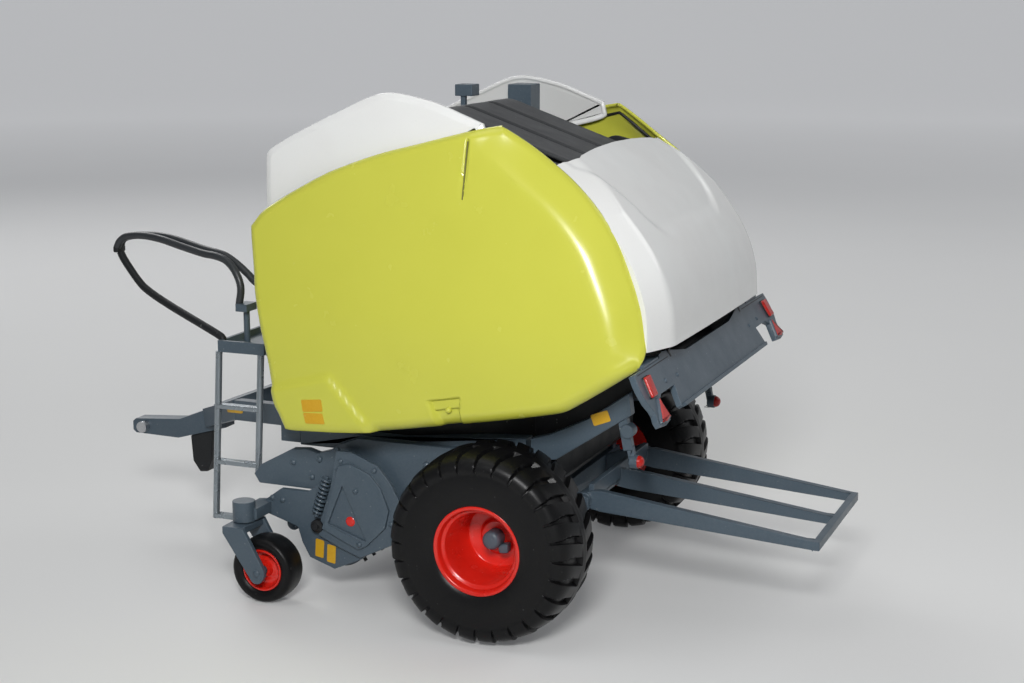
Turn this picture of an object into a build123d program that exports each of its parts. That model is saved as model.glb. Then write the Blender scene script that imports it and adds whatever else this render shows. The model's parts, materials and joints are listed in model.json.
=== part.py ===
"""Round baler with a variable chamber, as a 1:32 scale model.

All lengths are millimetres. X points forward, Y to the machine's left and Z up. The shapes are
drawn with X = 0 over the main axle and Z = 0 on the ground, and save() moves them so that the
middle of the model's length is at X = 0.
"""

from build123d import *
import os
from math import cos, radians, sin

# Whole machine
nose_x = 95.3            # front end of the drawbar
ramp_end_x = -52.9       # rear end of the bale ramp
middle_x = (nose_x + ramp_end_x) / 2
half_width = 43.6        # outer faces of the main tyres
running_gap = 0.05       # radial clearance of everything that turns on a pin

# Main wheels and axle
tyre_radius = 17.2
tyre_width = 15.5
rim_radius = 7.9
axle_z = tyre_radius
wheel_y = half_width - tyre_width / 2
axle_pin_radius = 1.6

# Castor wheels on the pickup
castor_radius = 6.2
castor_width = 5.6
castor_rim_radius = 3.9
castor_x = 45.3
castor_y = 34.2
castor_pin_radius = 0.7
stem_x = 50.0
stem_radius = 1.0
head_tube = (14.6, 18.4)         # low and high Z

# Side hoods
hood_low_y = 38.8        # outer face below the bend
hood_bend_z = 52.0
hood_top = (33.4, 88.6)          # Y and Z of the outer face at its top
hood_wall = 1.2
hood_hinge = (31.2, 88.2)        # Y and Z of the hinge line
hood_lugs = ((-1.7, -0.6), (0.8, 1.9))   # X from and to
hood_pin_radius = 0.35

# Bale chamber and tailgate
chamber_half = 20.5      # inner faces of the side walls
chamber_wall = 1.2
chamber_outer = chamber_half + chamber_wall
gate_x = -3.0            # where the tailgate's walls end and the chamber's begin
gate_pivot = (-2.0, 79.5)        # X and Z of the tailgate's hinge
gate_pin_radius = 1.0
gate_plate = (22.2, 23.2)        # inner and outer Y of the tailgate's side plates
gate_beam = (23.2, 25.4)         # the same of its lower beams

# Pickup
pickup_pivot = (27.0, 17.0)      # X and Z
pickup_pin_radius = 1.1
pickup_plate = (27.4, 28.6)
reel_axis = (36.0, 9.6)
reel_pin_radius = 0.8
tine_pitch = 3.6
tine_rows = 5

# Bale ramp
ramp_pivot = (-10.0, 20.4)
ramp_pin_radius = 0.8
ramp_half = 16.0


def save(name, shape):
    """Writes one node, moved to the model's own origin."""
    export_step(Pos(-middle_x, 0, 0) * shape, f"parts/{name}.step")


def group(*shapes):
    """Several shapes as one node."""
    return Compound([solid for shape in shapes for solid in shape.solids()])


def outline(start, steps):
    """Closed side view in X and Z. Each step is (via, end): via None is a line, else an arc."""
    edges = []
    here = start
    for via, end in steps:
        a, b = (here[0], 0, here[1]), (end[0], 0, end[1])
        edges.append(Line(a, b) if via is None else ThreePointArc(a, (via[0], 0, via[1]), b))
        here = end
    edges.append(Line((here[0], 0, here[1]), (start[0], 0, start[1])))
    return edges


def slab(edges, low_y, high_y):
    """Solid between two Y values from a closed side view."""
    return Pos(0, low_y, 0) * extrude(make_face(edges), high_y - low_y, dir=(0, 1, 0))


def plate(points, low_y, high_y):
    """The same from straight-sided (X, Z) corners."""
    return slab(outline(points[0], [(None, p) for p in points[1:]]), low_y, high_y)


def cross_section(points, low_x, high_x):
    """Solid between two X values from the (Y, Z) corners of its front view."""
    face = make_face(Polyline(*[(low_x, y, z) for y, z in points], close=True))
    return extrude(face, high_x - low_x, dir=(1, 0, 0))


def block(x, y, z):
    """Box from its low and high values along each axis."""
    size = [high - low for low, high in (x, y, z)]
    centre = [(high + low) / 2 for low, high in (x, y, z)]
    return Pos(*centre) * Box(*size)


def rod(start, end, radius):
    """Round bar from one point to another."""
    run = Vector(*end) - Vector(*start)
    return Solid.make_cylinder(radius, run.length, Plane(origin=start, z_dir=run))


def across(x, z, low_y, high_y, radius):
    """Round bar across the machine."""
    return rod((x, low_y, z), (x, high_y, z), radius)


def bar(start, end, width, height):
    """Square bar from one point to another, its width level."""
    run = Vector(*end) - Vector(*start)
    frame = Plane(origin=start, x_dir=Vector(0, 0, 1).cross(run), z_dir=run)
    return frame * Box(width, height, run.length, align=(Align.CENTER, Align.CENTER, Align.MIN))


def mirrored(shape):
    """The shape on the machine's other side."""
    return mirror(shape, about=Plane.XZ)


def turned(profile):
    """Ring about the Y axis from a closed (radius, y) profile."""
    face = make_face(Polyline(*[(r, y, 0) for r, y in profile], close=True))
    return revolve(face, Axis.Y)


# Main wheels and castor wheels, drawn about Y = 0 with the open side of the rim at +Y

def wheel_tyre(radius, half, bore, shoulder, bead):
    """Tyre with a flat tread, rounded shoulders and a bead narrower by bead on each side."""
    tread = half - bead / 2 - shoulder
    corner = shoulder * (1 - sin(radians(45)))
    side = radius - shoulder

    def half_profile(sign):
        return [
            ((bore, sign * (half - bead)), ((bore + side) / 2, sign * (half - 0.02)),
             (side, sign * (half - bead / 2))),
            ((side, sign * (half - bead / 2)), (radius - corner, sign * (tread + shoulder - corner)),
             (radius, sign * tread)),
        ]

    edges = []
    for sign in (1, -1):
        for points in half_profile(sign):
            edges.append(ThreePointArc(*[(r, y, 0) for r, y in points]))
    edges.append(Line((radius, tread, 0), (radius, -tread, 0)))
    edges.append(Line((bore, half - bead, 0), (bore, bead - half, 0)))
    return revolve(make_face(edges), Axis.Y)


def main_rim():
    """Deep-dished disc wheel: the barrel, the dish from its outer flange to the disc, and the hub."""
    half = tyre_width / 2 - 1.2
    pin = axle_pin_radius + running_gap
    return turned([
        (pin, -6.6), (2.9, -6.6), (2.9, -4.8), (rim_radius - 1.5, -4.8), (rim_radius - 1.0, -half),
        (rim_radius, -half), (rim_radius, half), (rim_radius - 0.7, half), (rim_radius - 1.3, half - 1.5),
        (rim_radius - 1.8, half - 1.9), (rim_radius - 2.3, -3.0), (2.6, -3.4), (2.6, -2.2), (pin, -2.2),
    ])


def castor_rim():
    """Small disc wheel."""
    half = castor_width / 2 - 0.6
    edge = castor_rim_radius - 0.7
    pin = castor_pin_radius + running_gap
    return turned([
        (pin, -1.9), (1.4, -1.9), (1.4, -0.7), (edge - 0.3, -0.7), (edge, -half),
        (castor_rim_radius, -half),
        (castor_rim_radius, half), (edge, half), (edge - 0.3, 0.3), (1.4, 0.3), (1.4, 1.9), (pin, 1.9),
    ])


# Chassis

def axle_beam():
    """Square beam with a pin for each wheel, and its stays to the side beams."""
    beam = block((-2.2, 2.2), (-26.6, 26.6), (axle_z - 2.2, axle_z + 2.2))
    pin = across(0, axle_z, 26.6, wheel_y - 1.0, axle_pin_radius)
    stay = plate([(-2.0, 28.6), (6.0, 28.6), (2.2, axle_z + 2.2), (-2.2, axle_z + 2.2)], 22.6, 24.6)
    side = pin + stay
    return beam + side + mirrored(side)


def side_beam():
    """Long beam over the wheel, the front plate, and the pickup's pivot pin."""
    rail = plate(
        [(gate_x + 1.0, 28.6), (8.0, 28.6), (22.0, 27.4), (43.0, 27.4), (43.0, 30.6), (22.0, 30.4),
         (6.7, 32.2), (gate_x + 1.0, 32.8)],
        chamber_outer, 25.0,
    )
    front = plate(
        [(11.0, 30.2), (11.0, 21.0), (20.0, 15.6), (28.6, 15.0), (38.0, 19.6), (50.9, 19.7), (52.0, 21.4),
         (50.5, 23.3), (43.9, 26.9), (40.7, 27.2), (38.5, 26.6), (35.9, 27.4), (34.3, 28.6), (30.0, 30.2)],
        25.0, 26.8,
    )
    pin = across(*pickup_pivot, 26.8, 28.9, pickup_pin_radius)
    return rail + front + pin


def chamber_wall_side():
    """Side wall of the bale chamber ahead of the tailgate, the tailgate's hinge pin, and half the belly."""
    front = outline((gate_x + 0.5, 29.5), [
        (None, (38.0, 28.5)), (None, (42.5, 40.0)), (None, (43.2, 64.0)), ((42.2, 71.5), (37.5, 77.0)),
        (None, (23.5, 86.0)), ((20.5, 87.6), (17.0, 86.6)), (None, (8.0, 82.8)), (None, (1.0, 80.6)),
        (None, (gate_x + 0.5, 80.8)),
    ])
    wall = slab(front, chamber_half, chamber_outer)
    pin = across(*gate_pivot, chamber_outer, gate_plate[1] + 0.8, gate_pin_radius)
    belly = plate(
        [(-6.6, 30.5), (-6.6, 24.6), (-2.4, 20.6), (20.6, 20.6), (20.6, 30.0), (19.6, 30.0), (19.6, 21.6),
         (-2.0, 21.6), (-5.6, 25.0), (-5.6, 30.5)],
        0.0, chamber_outer,
    )
    return wall + pin + belly


cross_tube_table = [
    # x, z, radius
    (37.0, 33.0, 2.2),
    (41.2, 50.0, 1.4),
    (8.0, 31.4, 1.6),
]
roller_table = [
    # x, z, radius: top rear, top front, upper front, lower front, floor
    (-6.6, 77.4, 2.0),
    (18.4, 86.2, 2.0),
    (36.8, 70.8, 2.0),
    (34.6, 41.0, 2.6),
    (2.5, 37.0, 2.2),
]


def tubes(table, half):
    """Level tubes across the machine, one row each."""
    return group(*[across(x, z, -half, half, radius) for x, z, radius in table])


belt_count = 3
belt_pitch = 11.4
belt_width = 9.5
belt_thick = 0.8
belt_points = [(-9.2, 79.8), (18.9, 89.7), (40.6, 72.0), (38.0, 43.0)]


def belts():
    """Belts over the top of the chamber and down its front, each a flat band with round bends."""
    run = FilletPolyline(*[(x, 0, z) for x, z in belt_points], radius=2.8)
    section = Plane(origin=run @ 0, x_dir=(0, 1, 0), z_dir=run % 0) * Rectangle(belt_width, belt_thick)
    belt = sweep(section, path=run)
    first = -(belt_count - 1) / 2
    return group(*[Pos(0, (first + number) * belt_pitch, 0) * belt for number in range(belt_count)])


beam_x, beam_z = (21.6, 24.0), (81.2, 84.0)


def top_frame():
    """Cross beam under the belts, with a bracket to each front panel and a belt guide."""
    beam = block(beam_x, (-30.7, 30.7), beam_z)
    bracket = block((17.0, 22.0), (25.6, 30.7), (beam_z[0], 91.6))
    neck = block((22.4, 23.4), (-6.2, -5.2), (beam_z[1], 90.4))
    guide = block((20.8, 24.4), (-8.4, -4.8), (90.4, 92.6))
    return beam + bracket + mirrored(bracket) + neck + guide


def hood_bracket():
    """Arm from the chamber wall to a side hood's hinge, with the hinge's pin."""
    low, high = hood_lugs[0][1] + running_gap, hood_lugs[1][0] - running_gap
    y, z = hood_hinge
    eye = rod((low, y, z), (high, y, z), 0.9) + block((low, high), (29.4, y), (z - 0.8, z + 0.8))
    pin = rod((hood_lugs[0][0] - 0.2, y, z), (hood_lugs[1][1] + 0.2, y, z), hood_pin_radius)
    arm_side = [(chamber_outer, 81.4), (chamber_outer, 84.2), (29.4, 86.4), (29.4, 85.2)]
    arm = cross_section(arm_side, 4.0, 6.0)
    link_side = [(low, 87.4), (low, 89.0), (high, 89.0), (6.0, 86.4), (6.0, 85.2), (4.0, 85.2)]
    link = plate(link_side, 29.4, 30.3)
    return arm + link + eye + pin


front_box = ((43.0, 47.0), (-25.0, 25.0), (27.8, 33.2))


def drawbar():
    """Two beams that meet at the nose, and the cross box at the front frame."""
    nose = plate(
        [(nose_x, 20.0), (nose_x, 21.8), (94.6, 22.4), (84.0, 23.2), (76.4, 26.2), (73.0, 26.6), (73.0, 22.4),
         (84.4, 19.2), (94.6, 19.4)],
        -1.7, 1.7,
    )
    beams = []
    for side in (1, -1):
        knee = (65.5, 9.0 * side, 28.6)
        beams.append(bar((77.0, 1.6 * side, 24.2), knee, 2.2, 3.8))
        beams.append(bar(knee, (45.0, 16.0 * side, 30.4), 2.2, 4.0))
    whole = nose + block(*front_box)
    for beam in beams:
        whole += beam
    return whole


def towing_pin():
    """Left end of the bright cross pin at the nose, which the tractor's hook takes."""
    return across(92.4, 21.0, 1.7, 3.2, 1.15)


def gearbox():
    """Gearbox on the front box, with the stub that the drive shaft slides over."""
    case = block((43.4, 51.0), (-5.0, 5.0), (33.2, 42.6))
    neck = rod((51.0, 0, 38.0), (53.0, 0, 38.0), 2.6)
    stub = rod((53.0, 0, 38.0), (58.0, 0, 38.0), 1.2)
    return case + neck + stub


def net_box():
    """Box for the net roll across the front of the chamber."""
    return slab(
        outline((43.4, 46.0), [
            (None, (48.0, 45.0)), (None, (49.6, 58.0)), ((48.9, 65.0), (45.6, 68.6)), (None, (43.4, 68.6)),
        ]),
        -26.0, 26.0,
    )


def front_panel():
    """White panel at the front top of one side, partly behind the side hood."""
    edges = outline((45.2, 66.6), [
        (None, (45.1, 81.4)), ((44.7, 82.6), (43.4, 83.3)), (None, (24.6, 92.4)),
        ((21.6, 93.2), (18.6, 93.0)), ((12.0, 91.7), (2.6, 87.9)), (None, (3.4, 84.6)),
        ((24.0, 79.0), (41.0, 68.6)),
    ])
    return slab(edges, 30.7, 31.9)


ladder_top, ladder_foot = (22.0, 43.8), (25.0, 11.2)     # Y and Z
ladder_rail_radius = 0.65
ladder_rails = [
    # x and the height of the foot
    (52.6, 20.4),
    (61.6, 11.2),
]
ladder_rungs = [
    # height and low x
    (11.8, 55.6),
    (22.2, 52.6),
    (32.8, 52.6),
]


def ladder():
    """Two round rails and the rungs between them, leaning out at the foot; the rear rail is short."""
    (top_y, top_z), (foot_y, foot_z) = ladder_top, ladder_foot
    slope = (top_y - foot_y) / (top_z - foot_z)
    whole = None
    for x, low_z in ladder_rails:
        rail = rod((x, foot_y + slope * (low_z - foot_z), low_z), (x, top_y, top_z), ladder_rail_radius)
        whole = rail if whole is None else whole + rail
    for z, low_x in ladder_rungs:
        y = foot_y + slope * (z - foot_z)
        whole += block((low_x, ladder_rails[1][0]), (y - 0.8, y + 0.8), (z - 0.45, z + 0.45))
    return whole - block((50.0, 64.0), (18.0, 24.0), (platform_z[0], 46.0))


platform_z = (43.2, 44.2)


def platform():
    """Deck across the front at the ladder's top, its kick bars, and the two stays that carry it."""
    deck = block((51.4, 62.6), (-18.0, 23.0), platform_z)
    kick = block((51.4, 62.6), (22.2, 23.0), (platform_z[1], 45.4))
    front = block((61.9, 62.6), (-18.0, 22.2), (platform_z[1], 45.4))
    whole = deck + kick + front
    for y in (-15.5, 15.5):
        whole += bar((44.6, y, 31.6), (55.0, y, platform_z[0] + 0.3), 2.0, 1.8) - block(*front_box)
    post = rod((56.6, 20.0, platform_z[1]), (56.6, 20.0, 51.0), 0.6)
    clamp = block((55.4, 57.8), (18.2, 22.0), (51.0, 52.4))
    return whole + post + clamp


holder_points = [
    (61.2, 21.2, 44.2), (61.4, 21.2, 46.0), (66.0, 20.4, 47.8), (78.6, 17.4, 53.6), (88.6, 14.4, 60.4),
]
holder_radius = 0.55


def hose_holder():
    """Bent rod from the platform's corner that holds the hoses up, with the block at its tip."""
    run = FilletPolyline(*holder_points, radius=1.2)
    section = Plane(origin=run @ 0, z_dir=run % 0) * Circle(holder_radius)
    tip = Vector(*holder_points[-1])
    return sweep(section, path=run) + Pos(*tip) * Box(1.8, 3.8, 1.8)


# The hoses are one stiff moulding that stands by itself between the holder's tip and the machine.
hose_radius = 0.6
hose_gap = 1.5           # between the two hoses' centre lines
hose_tip = [
    (88.6, 14.4, 61.3), (88.6, 14.4, 63.6), (82.0, 15.6, 64.6), (74.6, 17.0, 63.4), (67.4, 18.2, 61.2),
    (61.4, 19.2, 58.8),
]
hose_ends = [
    # points after the shared ones, offset to the side
    ([(57.0, 20.0, 56.0), (56.6, 20.0, 52.4)], 1),
    ([(55.6, 19.6, 57.6), (49.4, 19.6, 56.2)], -1),
]
hose_bends = [1.4, 6.0, 20.0, 20.0, 5.0, 1.6]


def hoses():
    """Both hoses: one turns down to the clamp over the platform, the other runs on to the net box."""
    solids = []
    for end, side in hose_ends:
        points = [Vector(x, y + side * hose_gap / 2, z) for x, y, z in hose_tip + end]
        run = FilletPolyline(*points, radius=hose_bends)
        section = Plane(origin=run @ 0, z_dir=run % 0) * Circle(hose_radius)
        solids.append(sweep(section, path=run))
    return group(*solids)


def parking_foot():
    """Short black foot under the drawbar."""
    corners = [(76.4, 21.4), (81.6, 19.9), (81.2, 14.6), (79.6, 12.4), (77.8, 12.6), (76.8, 15.0)]
    return plate(corners, -1.5, 1.5) - drawbar()


def ramp_mount():
    """Brackets behind the axle beam and the rod that the bale ramp turns on."""
    x, z = ramp_pivot
    ear = plate([(-2.2, 15.4), (-2.2, 19.4), (x + 0.5, z + 1.7), (x - 1.6, z + 1.0), (x - 1.6, z - 1.2),
                 (x + 0.8, z - 1.9)], 18.0, 19.2)
    return ear + mirrored(ear) + across(x, z, -18.0, 18.0, ramp_pin_radius)


# Pickup

def drive_cover():
    """Six-sided cover outside the pickup's side plate: a raised face with a sunk three-cornered panel."""
    low = pickup_plate[1]
    rim = plate(
        [(33.3, 28.2), (30.2, 28.3), (25.0, 26.2), (22.3, 23.0), (20.0, 18.7), (21.3, 13.4), (22.5, 11.5),
         (27.2, 9.2), (28.7, 8.5), (33.1, 10.0), (37.2, 11.8), (36.6, 15.4), (34.6, 21.0)],
        low, low + 0.9,
    )
    face = plate(
        [(32.6, 25.6), (30.2, 26.2), (26.4, 24.6), (24.2, 22.2), (22.6, 18.2), (23.4, 14.8), (27.2, 11.0),
         (28.8, 10.2), (36.2, 13.4)],
        low, low + 1.5,
    )
    sunk = plate([(31.9, 21.9), (34.9, 14.6), (27.2, 11.9)], low + 0.9, low + 1.6)
    px, pz = pickup_pivot
    pin_room = across(px, pz, low, low + 0.5, pickup_pin_radius + 0.3)
    return rim + face - sunk - pin_room


def pickup_side():
    """Side plate of the pickup, its arm, and the castor's head tube."""
    px, pz = pickup_pivot
    side = plate(
        [(px - 1.2, pz + 3.0), (30.0, 22.0), (36.0, 22.4), (39.8, 19.6), (45.4, 19.6), (48.7, 17.2),
         (50.6, 17.0), (50.6, 14.9), (48.9, 14.9), (42.0, 12.7), (41.1, 9.8), (39.6, 7.1), (34.5, 5.4),
         (28.8, 8.0), (px - 3.0, pz - 2.6), (px - 3.0, pz + 1.2)],
        *pickup_plate,
    )
    arm = block((47.4, 50.6), (pickup_plate[1], castor_y), (14.9, 17.0))
    head = rod((stem_x, castor_y, head_tube[0]), (stem_x, castor_y, head_tube[1]), 2.1)
    stem_hole = rod((stem_x, castor_y, head_tube[0] - 1), (stem_x, castor_y, head_tube[1] - 0.6),
                    stem_radius + running_gap)
    pin_hole = across(px, pz, pickup_plate[0] - 1, pickup_plate[1] + 1, pickup_pin_radius + running_gap)
    return side + arm + head - stem_hole - pin_hole


def pickup_frame():
    """Both side plates, each with the pin of the reel."""
    side = pickup_side()
    side += across(*reel_axis, 21.0, pickup_plate[0], reel_pin_radius)
    return group(side, mirrored(side))


band_count = 13
band_width = 2.4
band_radii = (4.9, 5.5)


def pickup_guards():
    """Curved bands round the reel with a gap for the tines between each two, on one back bar."""
    x, z = reel_axis
    inner, outer = band_radii
    bar_at = (x - 7.4, z + 1.3)
    first = -(band_count - 1) / 2 * tine_pitch
    whole = across(*bar_at, -pickup_plate[0], pickup_plate[0], 0.7)
    for number in range(band_count):
        low = first + number * tine_pitch - band_width / 2
        high = low + band_width
        ring = across(x, z, low, high, outer) - across(x, z, low - 1, high + 1, inner)
        ring -= block((x - 9.0, x - 1.0), (low - 1, high + 1), (z + 2.0, z + 9.0))
        whole += ring + block((bar_at[0], x - 5.1), (low, high), (z + 0.7, z + 1.9))
    return whole


def crop_roller():
    """Roller over the front of the pickup that holds the crop down, on two arms from a cross tube."""
    tube = across(42.6, 15.0, -pickup_plate[0], pickup_plate[0], 0.9)
    roller = across(45.8, 11.4, -23.4, 23.4, 1.3)
    arm = bar((45.8, 24.0, 11.4), (42.6, 24.0, 15.0), 1.2, 1.6)
    return tube + roller + arm + mirrored(arm)


def pickup_reel():
    """Reel core with rows of tines that pass between the bands."""
    x, z = reel_axis
    core = across(x, z, -24.4, 24.4, 2.6)
    for side in (1, -1):
        core -= across(x, z, side * 20.0, side * 25.0, reel_pin_radius + running_gap)
    tine = block((-0.25, 0.25), (-0.25, 0.25), (2.2, 6.2))
    gaps = band_count - 1
    first = -(gaps - 1) / 2 * tine_pitch
    whole = core
    for row in range(tine_rows):
        for number in range(gaps):
            place = Pos(x, first + number * tine_pitch, z) * Rot(0, 360 / tine_rows * row, 0)
            whole += place * tine
    return whole


def castor_fork():
    """Stem, crown and two legs of the left castor, with the wheel's pin."""
    y = castor_y
    leg_y = (castor_width / 2 + 0.5, castor_width / 2 + 1.5)
    stem = rod((stem_x, y, 13.8), (stem_x, y, head_tube[1] - 0.9), stem_radius)
    crown = block((stem_x - 2.0, stem_x + 2.2), (y - leg_y[1], y + leg_y[1]), (13.1, 14.4))
    shape = outline((stem_x - 2.0, 14.4), [
        (None, (stem_x + 2.2, 14.4)), (None, (stem_x + 2.2, 13.1)),
        (None, (castor_x + 1.5, 5.2)), ((castor_x + 0.4, castor_radius - 2.0), (castor_x - 1.2, 5.0)),
        ((castor_x - 1.6, castor_radius), (castor_x - 1.2, 7.4)),
    ])
    leg = slab(shape, y + leg_y[0], y + leg_y[1])
    other = slab(shape, y - leg_y[1], y - leg_y[0])
    pin = across(castor_x, castor_radius, y - leg_y[1], y + leg_y[1], castor_pin_radius)
    return stem + crown + leg + other + pin


# Tailgate

shell_wall = 1.3
shell_crease_y = 27.0
shell_half = (36.8, 30.6)        # half width at the bottom and at the top
shell_z = (52.1, 83.4)


def shell_band(lip, upper, middle, lower, foot):
    """Side view of the shell: two arcs outside, the same two inside by the wall's thickness."""
    inside = [
        (x + across_wall, z - down)
        for (x, z), across_wall, down in zip((lip, upper, middle, lower, foot), (0.75, 1.0, 1.25, 1.3, 1.3),
                                             (1.1, 0.85, 0.4, 0.1, 0.0))
    ]
    return outline(lip, [
        (upper, middle), (lower, foot), (None, inside[4]), (inside[3], inside[2]), (inside[1], inside[0]),
    ])


def tailgate_shell():
    """White cover of the tailgate, fuller in the middle than at its side edges."""
    crease = shell_band((-9.4, 83.4), (-20.2, 74.4), (-27.7, 63.4), (-29.3, 58.0), (-29.7, 52.1))
    edge = shell_band((-8.6, 82.2), (-18.6, 73.8), (-25.0, 63.4), (-26.7, 58.0), (-27.2, 52.1))
    faces = [
        Pos(0, y, 0) * make_face(band)
        for y, band in ((-shell_half[0] - 0.3, edge), (-shell_crease_y, crease),
                        (shell_crease_y, crease), (shell_half[0] + 0.3, edge))
    ]
    shell = loft(faces, ruled=True)
    low, high = shell_half
    sides = cross_section(
        [(-low, 50.0), (-low, 53.0), (-high, 84.0), (high, 84.0), (low, 53.0), (low, 50.0)], -35.0, 0.0
    )
    return shell & sides


def tailgate_wall():
    """Side plate of the tailgate, from its hinge to the lower beam."""
    x, z = gate_pivot
    wall = slab(
        outline((gate_x, 31.5), [
            (None, (gate_x, z - 3.0)), ((x + 3.0, z), (x - 0.5, z + 2.8)), (None, (-8.0, 81.0)),
            ((-18.8, 73.0), (-26.0, 63.0)), ((-27.6, 57.8), (-28.0, 52.4)), (None, (-27.2, 50.2)),
            (None, (-28.0, 48.2)), (None, (-28.2, 47.0)), (None, (-26.4, 44.0)), (None, (-20.7, 41.0)), (None, (-13.7, 35.9)), (None, (-6.4, 32.0)),
        ]),
        *gate_plate,
    )
    return wall - across(x, z, 20.0, 26.0, gate_pin_radius + running_gap)


def tailgate_beam():
    """Grey beam along the lower edge of the tailgate."""
    return plate(
        [(gate_x, 29.0), (gate_x, 33.0), (-6.4, 34.0), (-13.7, 37.6), (-21.0, 42.8), (-21.5, 38.9),
         (-17.8, 36.4), (-7.8, 29.7)],
        *gate_beam,
    )


# The light bar is a plate that leans out towards its foot. Its own axes are across and down.
bar_top = (-27.2, 49.9)          # X and Z of the plate's outer top edge
bar_lean = 29.0                  # degrees from upright
bar_wall = 1.1
bar_half = 42.4


def on_bar(y, down, out=0.0):
    """Point on the light bar: across, down along the plate, and out of its outer face."""
    lean = radians(bar_lean)
    x = bar_top[0] - down * sin(lean) - out * cos(lean)
    return (x, y, bar_top[1] - down * cos(lean) + out * sin(lean))


def bar_piece(points, out, depth):
    """Prism on the light bar from (across, down) corners, from a height out of its face inwards."""
    face = make_face(Polyline(*[on_bar(y, down, out) for y, down in points], close=True))
    lean = radians(bar_lean)
    return extrude(face, depth, dir=(cos(lean), 0, -sin(lean)))


def light_bar():
    """Cross plate under the shell: lamp plates at its ends, a deeper middle, and a top flange."""
    half = [
        (0.0, 1.1), (14.0, 1.1), (18.0, 0.4), (22.0, -0.4), (25.4, -0.8), (27.6, -0.6), (28.2, 0.0),
        (41.8, 0.1), (42.3, 1.7), (bar_half, 3.3), (42.1, 5.0), (41.2, 6.5), (41.0, 7.4), (41.6, 8.4),
        (41.5, 9.5), (38.9, 9.8), (36.0, 9.5), (36.9, 6.1), (34.7, 5.1), (27.3, 5.1), (28.5, 8.6),
        (27.8, 9.1), (0.0, 9.1),
    ]
    left = bar_piece(half, 0.0, bar_wall)
    lip = bar_piece([(0.0, 8.4), (27.9, 8.4), (27.6, 9.1), (0.0, 9.1)], 0.5, 0.6)
    top_x, top_z = bar_top
    flange = block((top_x, top_x + 3.4), (28.6, hood_low_y - 2.4), (top_z - 0.4, top_z + 0.4))
    side = left + lip + flange
    return side + mirrored(side)


lamp_table = [
    # corners across and down: the square lamps, then the three-cornered reflectors
    [(36.9, 1.3), (39.5, 1.3), (40.2, 4.8), (37.6, 4.8)],
    [(37.3, 5.4), (37.8, 5.4), (41.0, 9.0), (38.9, 9.5), (36.3, 9.1)],
]


stalk_lamp = (-22.6, 24.4, 30.6)


def rear_lamps():
    """Red lenses on the light bar's outer face, and the round ones on the lamp stalks."""
    lenses = [bar_piece(corners, 0.7, 0.7) for corners in lamp_table]
    x, y, z = stalk_lamp
    dome = (Pos(x, y, z) * Sphere(1.1)) & block((x - 2.0, x), (y - 2.0, y + 2.0), (z - 2.0, z + 2.0))
    lenses.append(dome)
    return group(*lenses, *[mirrored(lens) for lens in lenses])


def lamp_stalk():
    """Stalk under the tailgate's beam, with its knuckle and round lamp holder."""
    stalk = bar((-19.6, 24.4, 39.0), (-20.9, 24.4, 32.6), 1.5, 1.7)
    knuckle = across(-20.8, 36.0, 23.3, 25.6, 1.2)
    arm = bar((-21.1, 24.4, 33.2), (-21.9, 24.4, 29.6), 1.2, 1.2)
    x, y, z = stalk_lamp
    holder = rod((x + 1.4, y, z), (x, y, z), 1.25)
    return stalk + knuckle + arm + holder - tailgate_beam()


gate_roller_table = [
    # x, z, radius
    (-24.4, 57.0, 1.8),
    (-20.6, 44.4, 1.8),
    (-8.4, 34.6, 1.8),
]


# Bale ramp

ramp_bar_width = 1.5


def bale_ramp():
    """Three tapered bars from the pivot tube to the rear cross bar."""
    x, z = ramp_pivot
    tube = across(x, z, -17.4, 17.4, 1.5)
    lip = block((x - 1.6, x - 0.6), (-ramp_half, ramp_half), (z, z + 2.8))
    whole = tube + lip
    for y in (-ramp_half, 0.0, ramp_half):
        whole += plate(
            [(x, z + 1.4), (-13.0, 22.3), (-52.0, 17.4), (-52.0, 15.8), (-13.0, 18.4), (x, z - 1.4)],
            y - ramp_bar_width / 2, y + ramp_bar_width / 2,
        )
    end = block((ramp_end_x, ramp_end_x + 1.3), (-ramp_half - 0.75, ramp_half + 0.75), (15.8, 17.4))
    return whole + end - across(x, z, -20.0, 20.0, ramp_pin_radius + running_gap)


# Side hoods

def hood():
    """Left side hood: a bent sheet cut to its side outline, with hinge lugs, latch recess and knob."""
    top_y, top_z = hood_top
    sheet = cross_section(
        [(hood_low_y, 30.0), (hood_low_y, hood_bend_z), (top_y, top_z), (top_y - hood_wall, top_z),
         (hood_low_y - hood_wall, hood_bend_z), (hood_low_y - hood_wall, 30.0)],
        -30.0, 50.0,
    )
    side = slab(
        outline((46.4, 69.6), [
            ((28.9, 80.4), (3.9, 87.5)), ((0.8, 88.2), (-2.2, 86.4)), ((-16.6, 74.8), (-26.2, 59.0)),
            ((-27.5, 54.2), (-25.7, 49.9)), (None, (-15.2, 42.7)), ((-13.2, 41.6), (-10.9, 41.1)),
            (None, (35.9, 34.3)), ((37.7, 34.7), (38.8, 36.3)), (None, (43.4, 52.9)),
            ((45.6, 60.6), (46.4, 68.6)),
        ]),
        28.0, 42.0,
    )
    recess = plate([(11.0, 42.2), (5.2, 42.6), (5.2, 38.8), (11.0, 38.3)], hood_low_y - 0.5, hood_low_y + 1)
    knob = across(7.0, 40.6, hood_low_y - 0.6, hood_low_y, 0.7)
    shape = (sheet & side) - recess + knob
    y, z = hood_hinge
    for low, high in hood_lugs:
        lug = rod((low, y, z), (high, y, z), 0.8)
        web = cross_section([(y, z - 0.8), (y, z), (33.0, 87.2), (33.4, 86.0)], low, high)
        shape = shape + lug + web - rod((low - 1, y, z), (high + 1, y, z), hood_pin_radius + running_gap)
    return shape


os.makedirs("parts", exist_ok=True)

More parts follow.
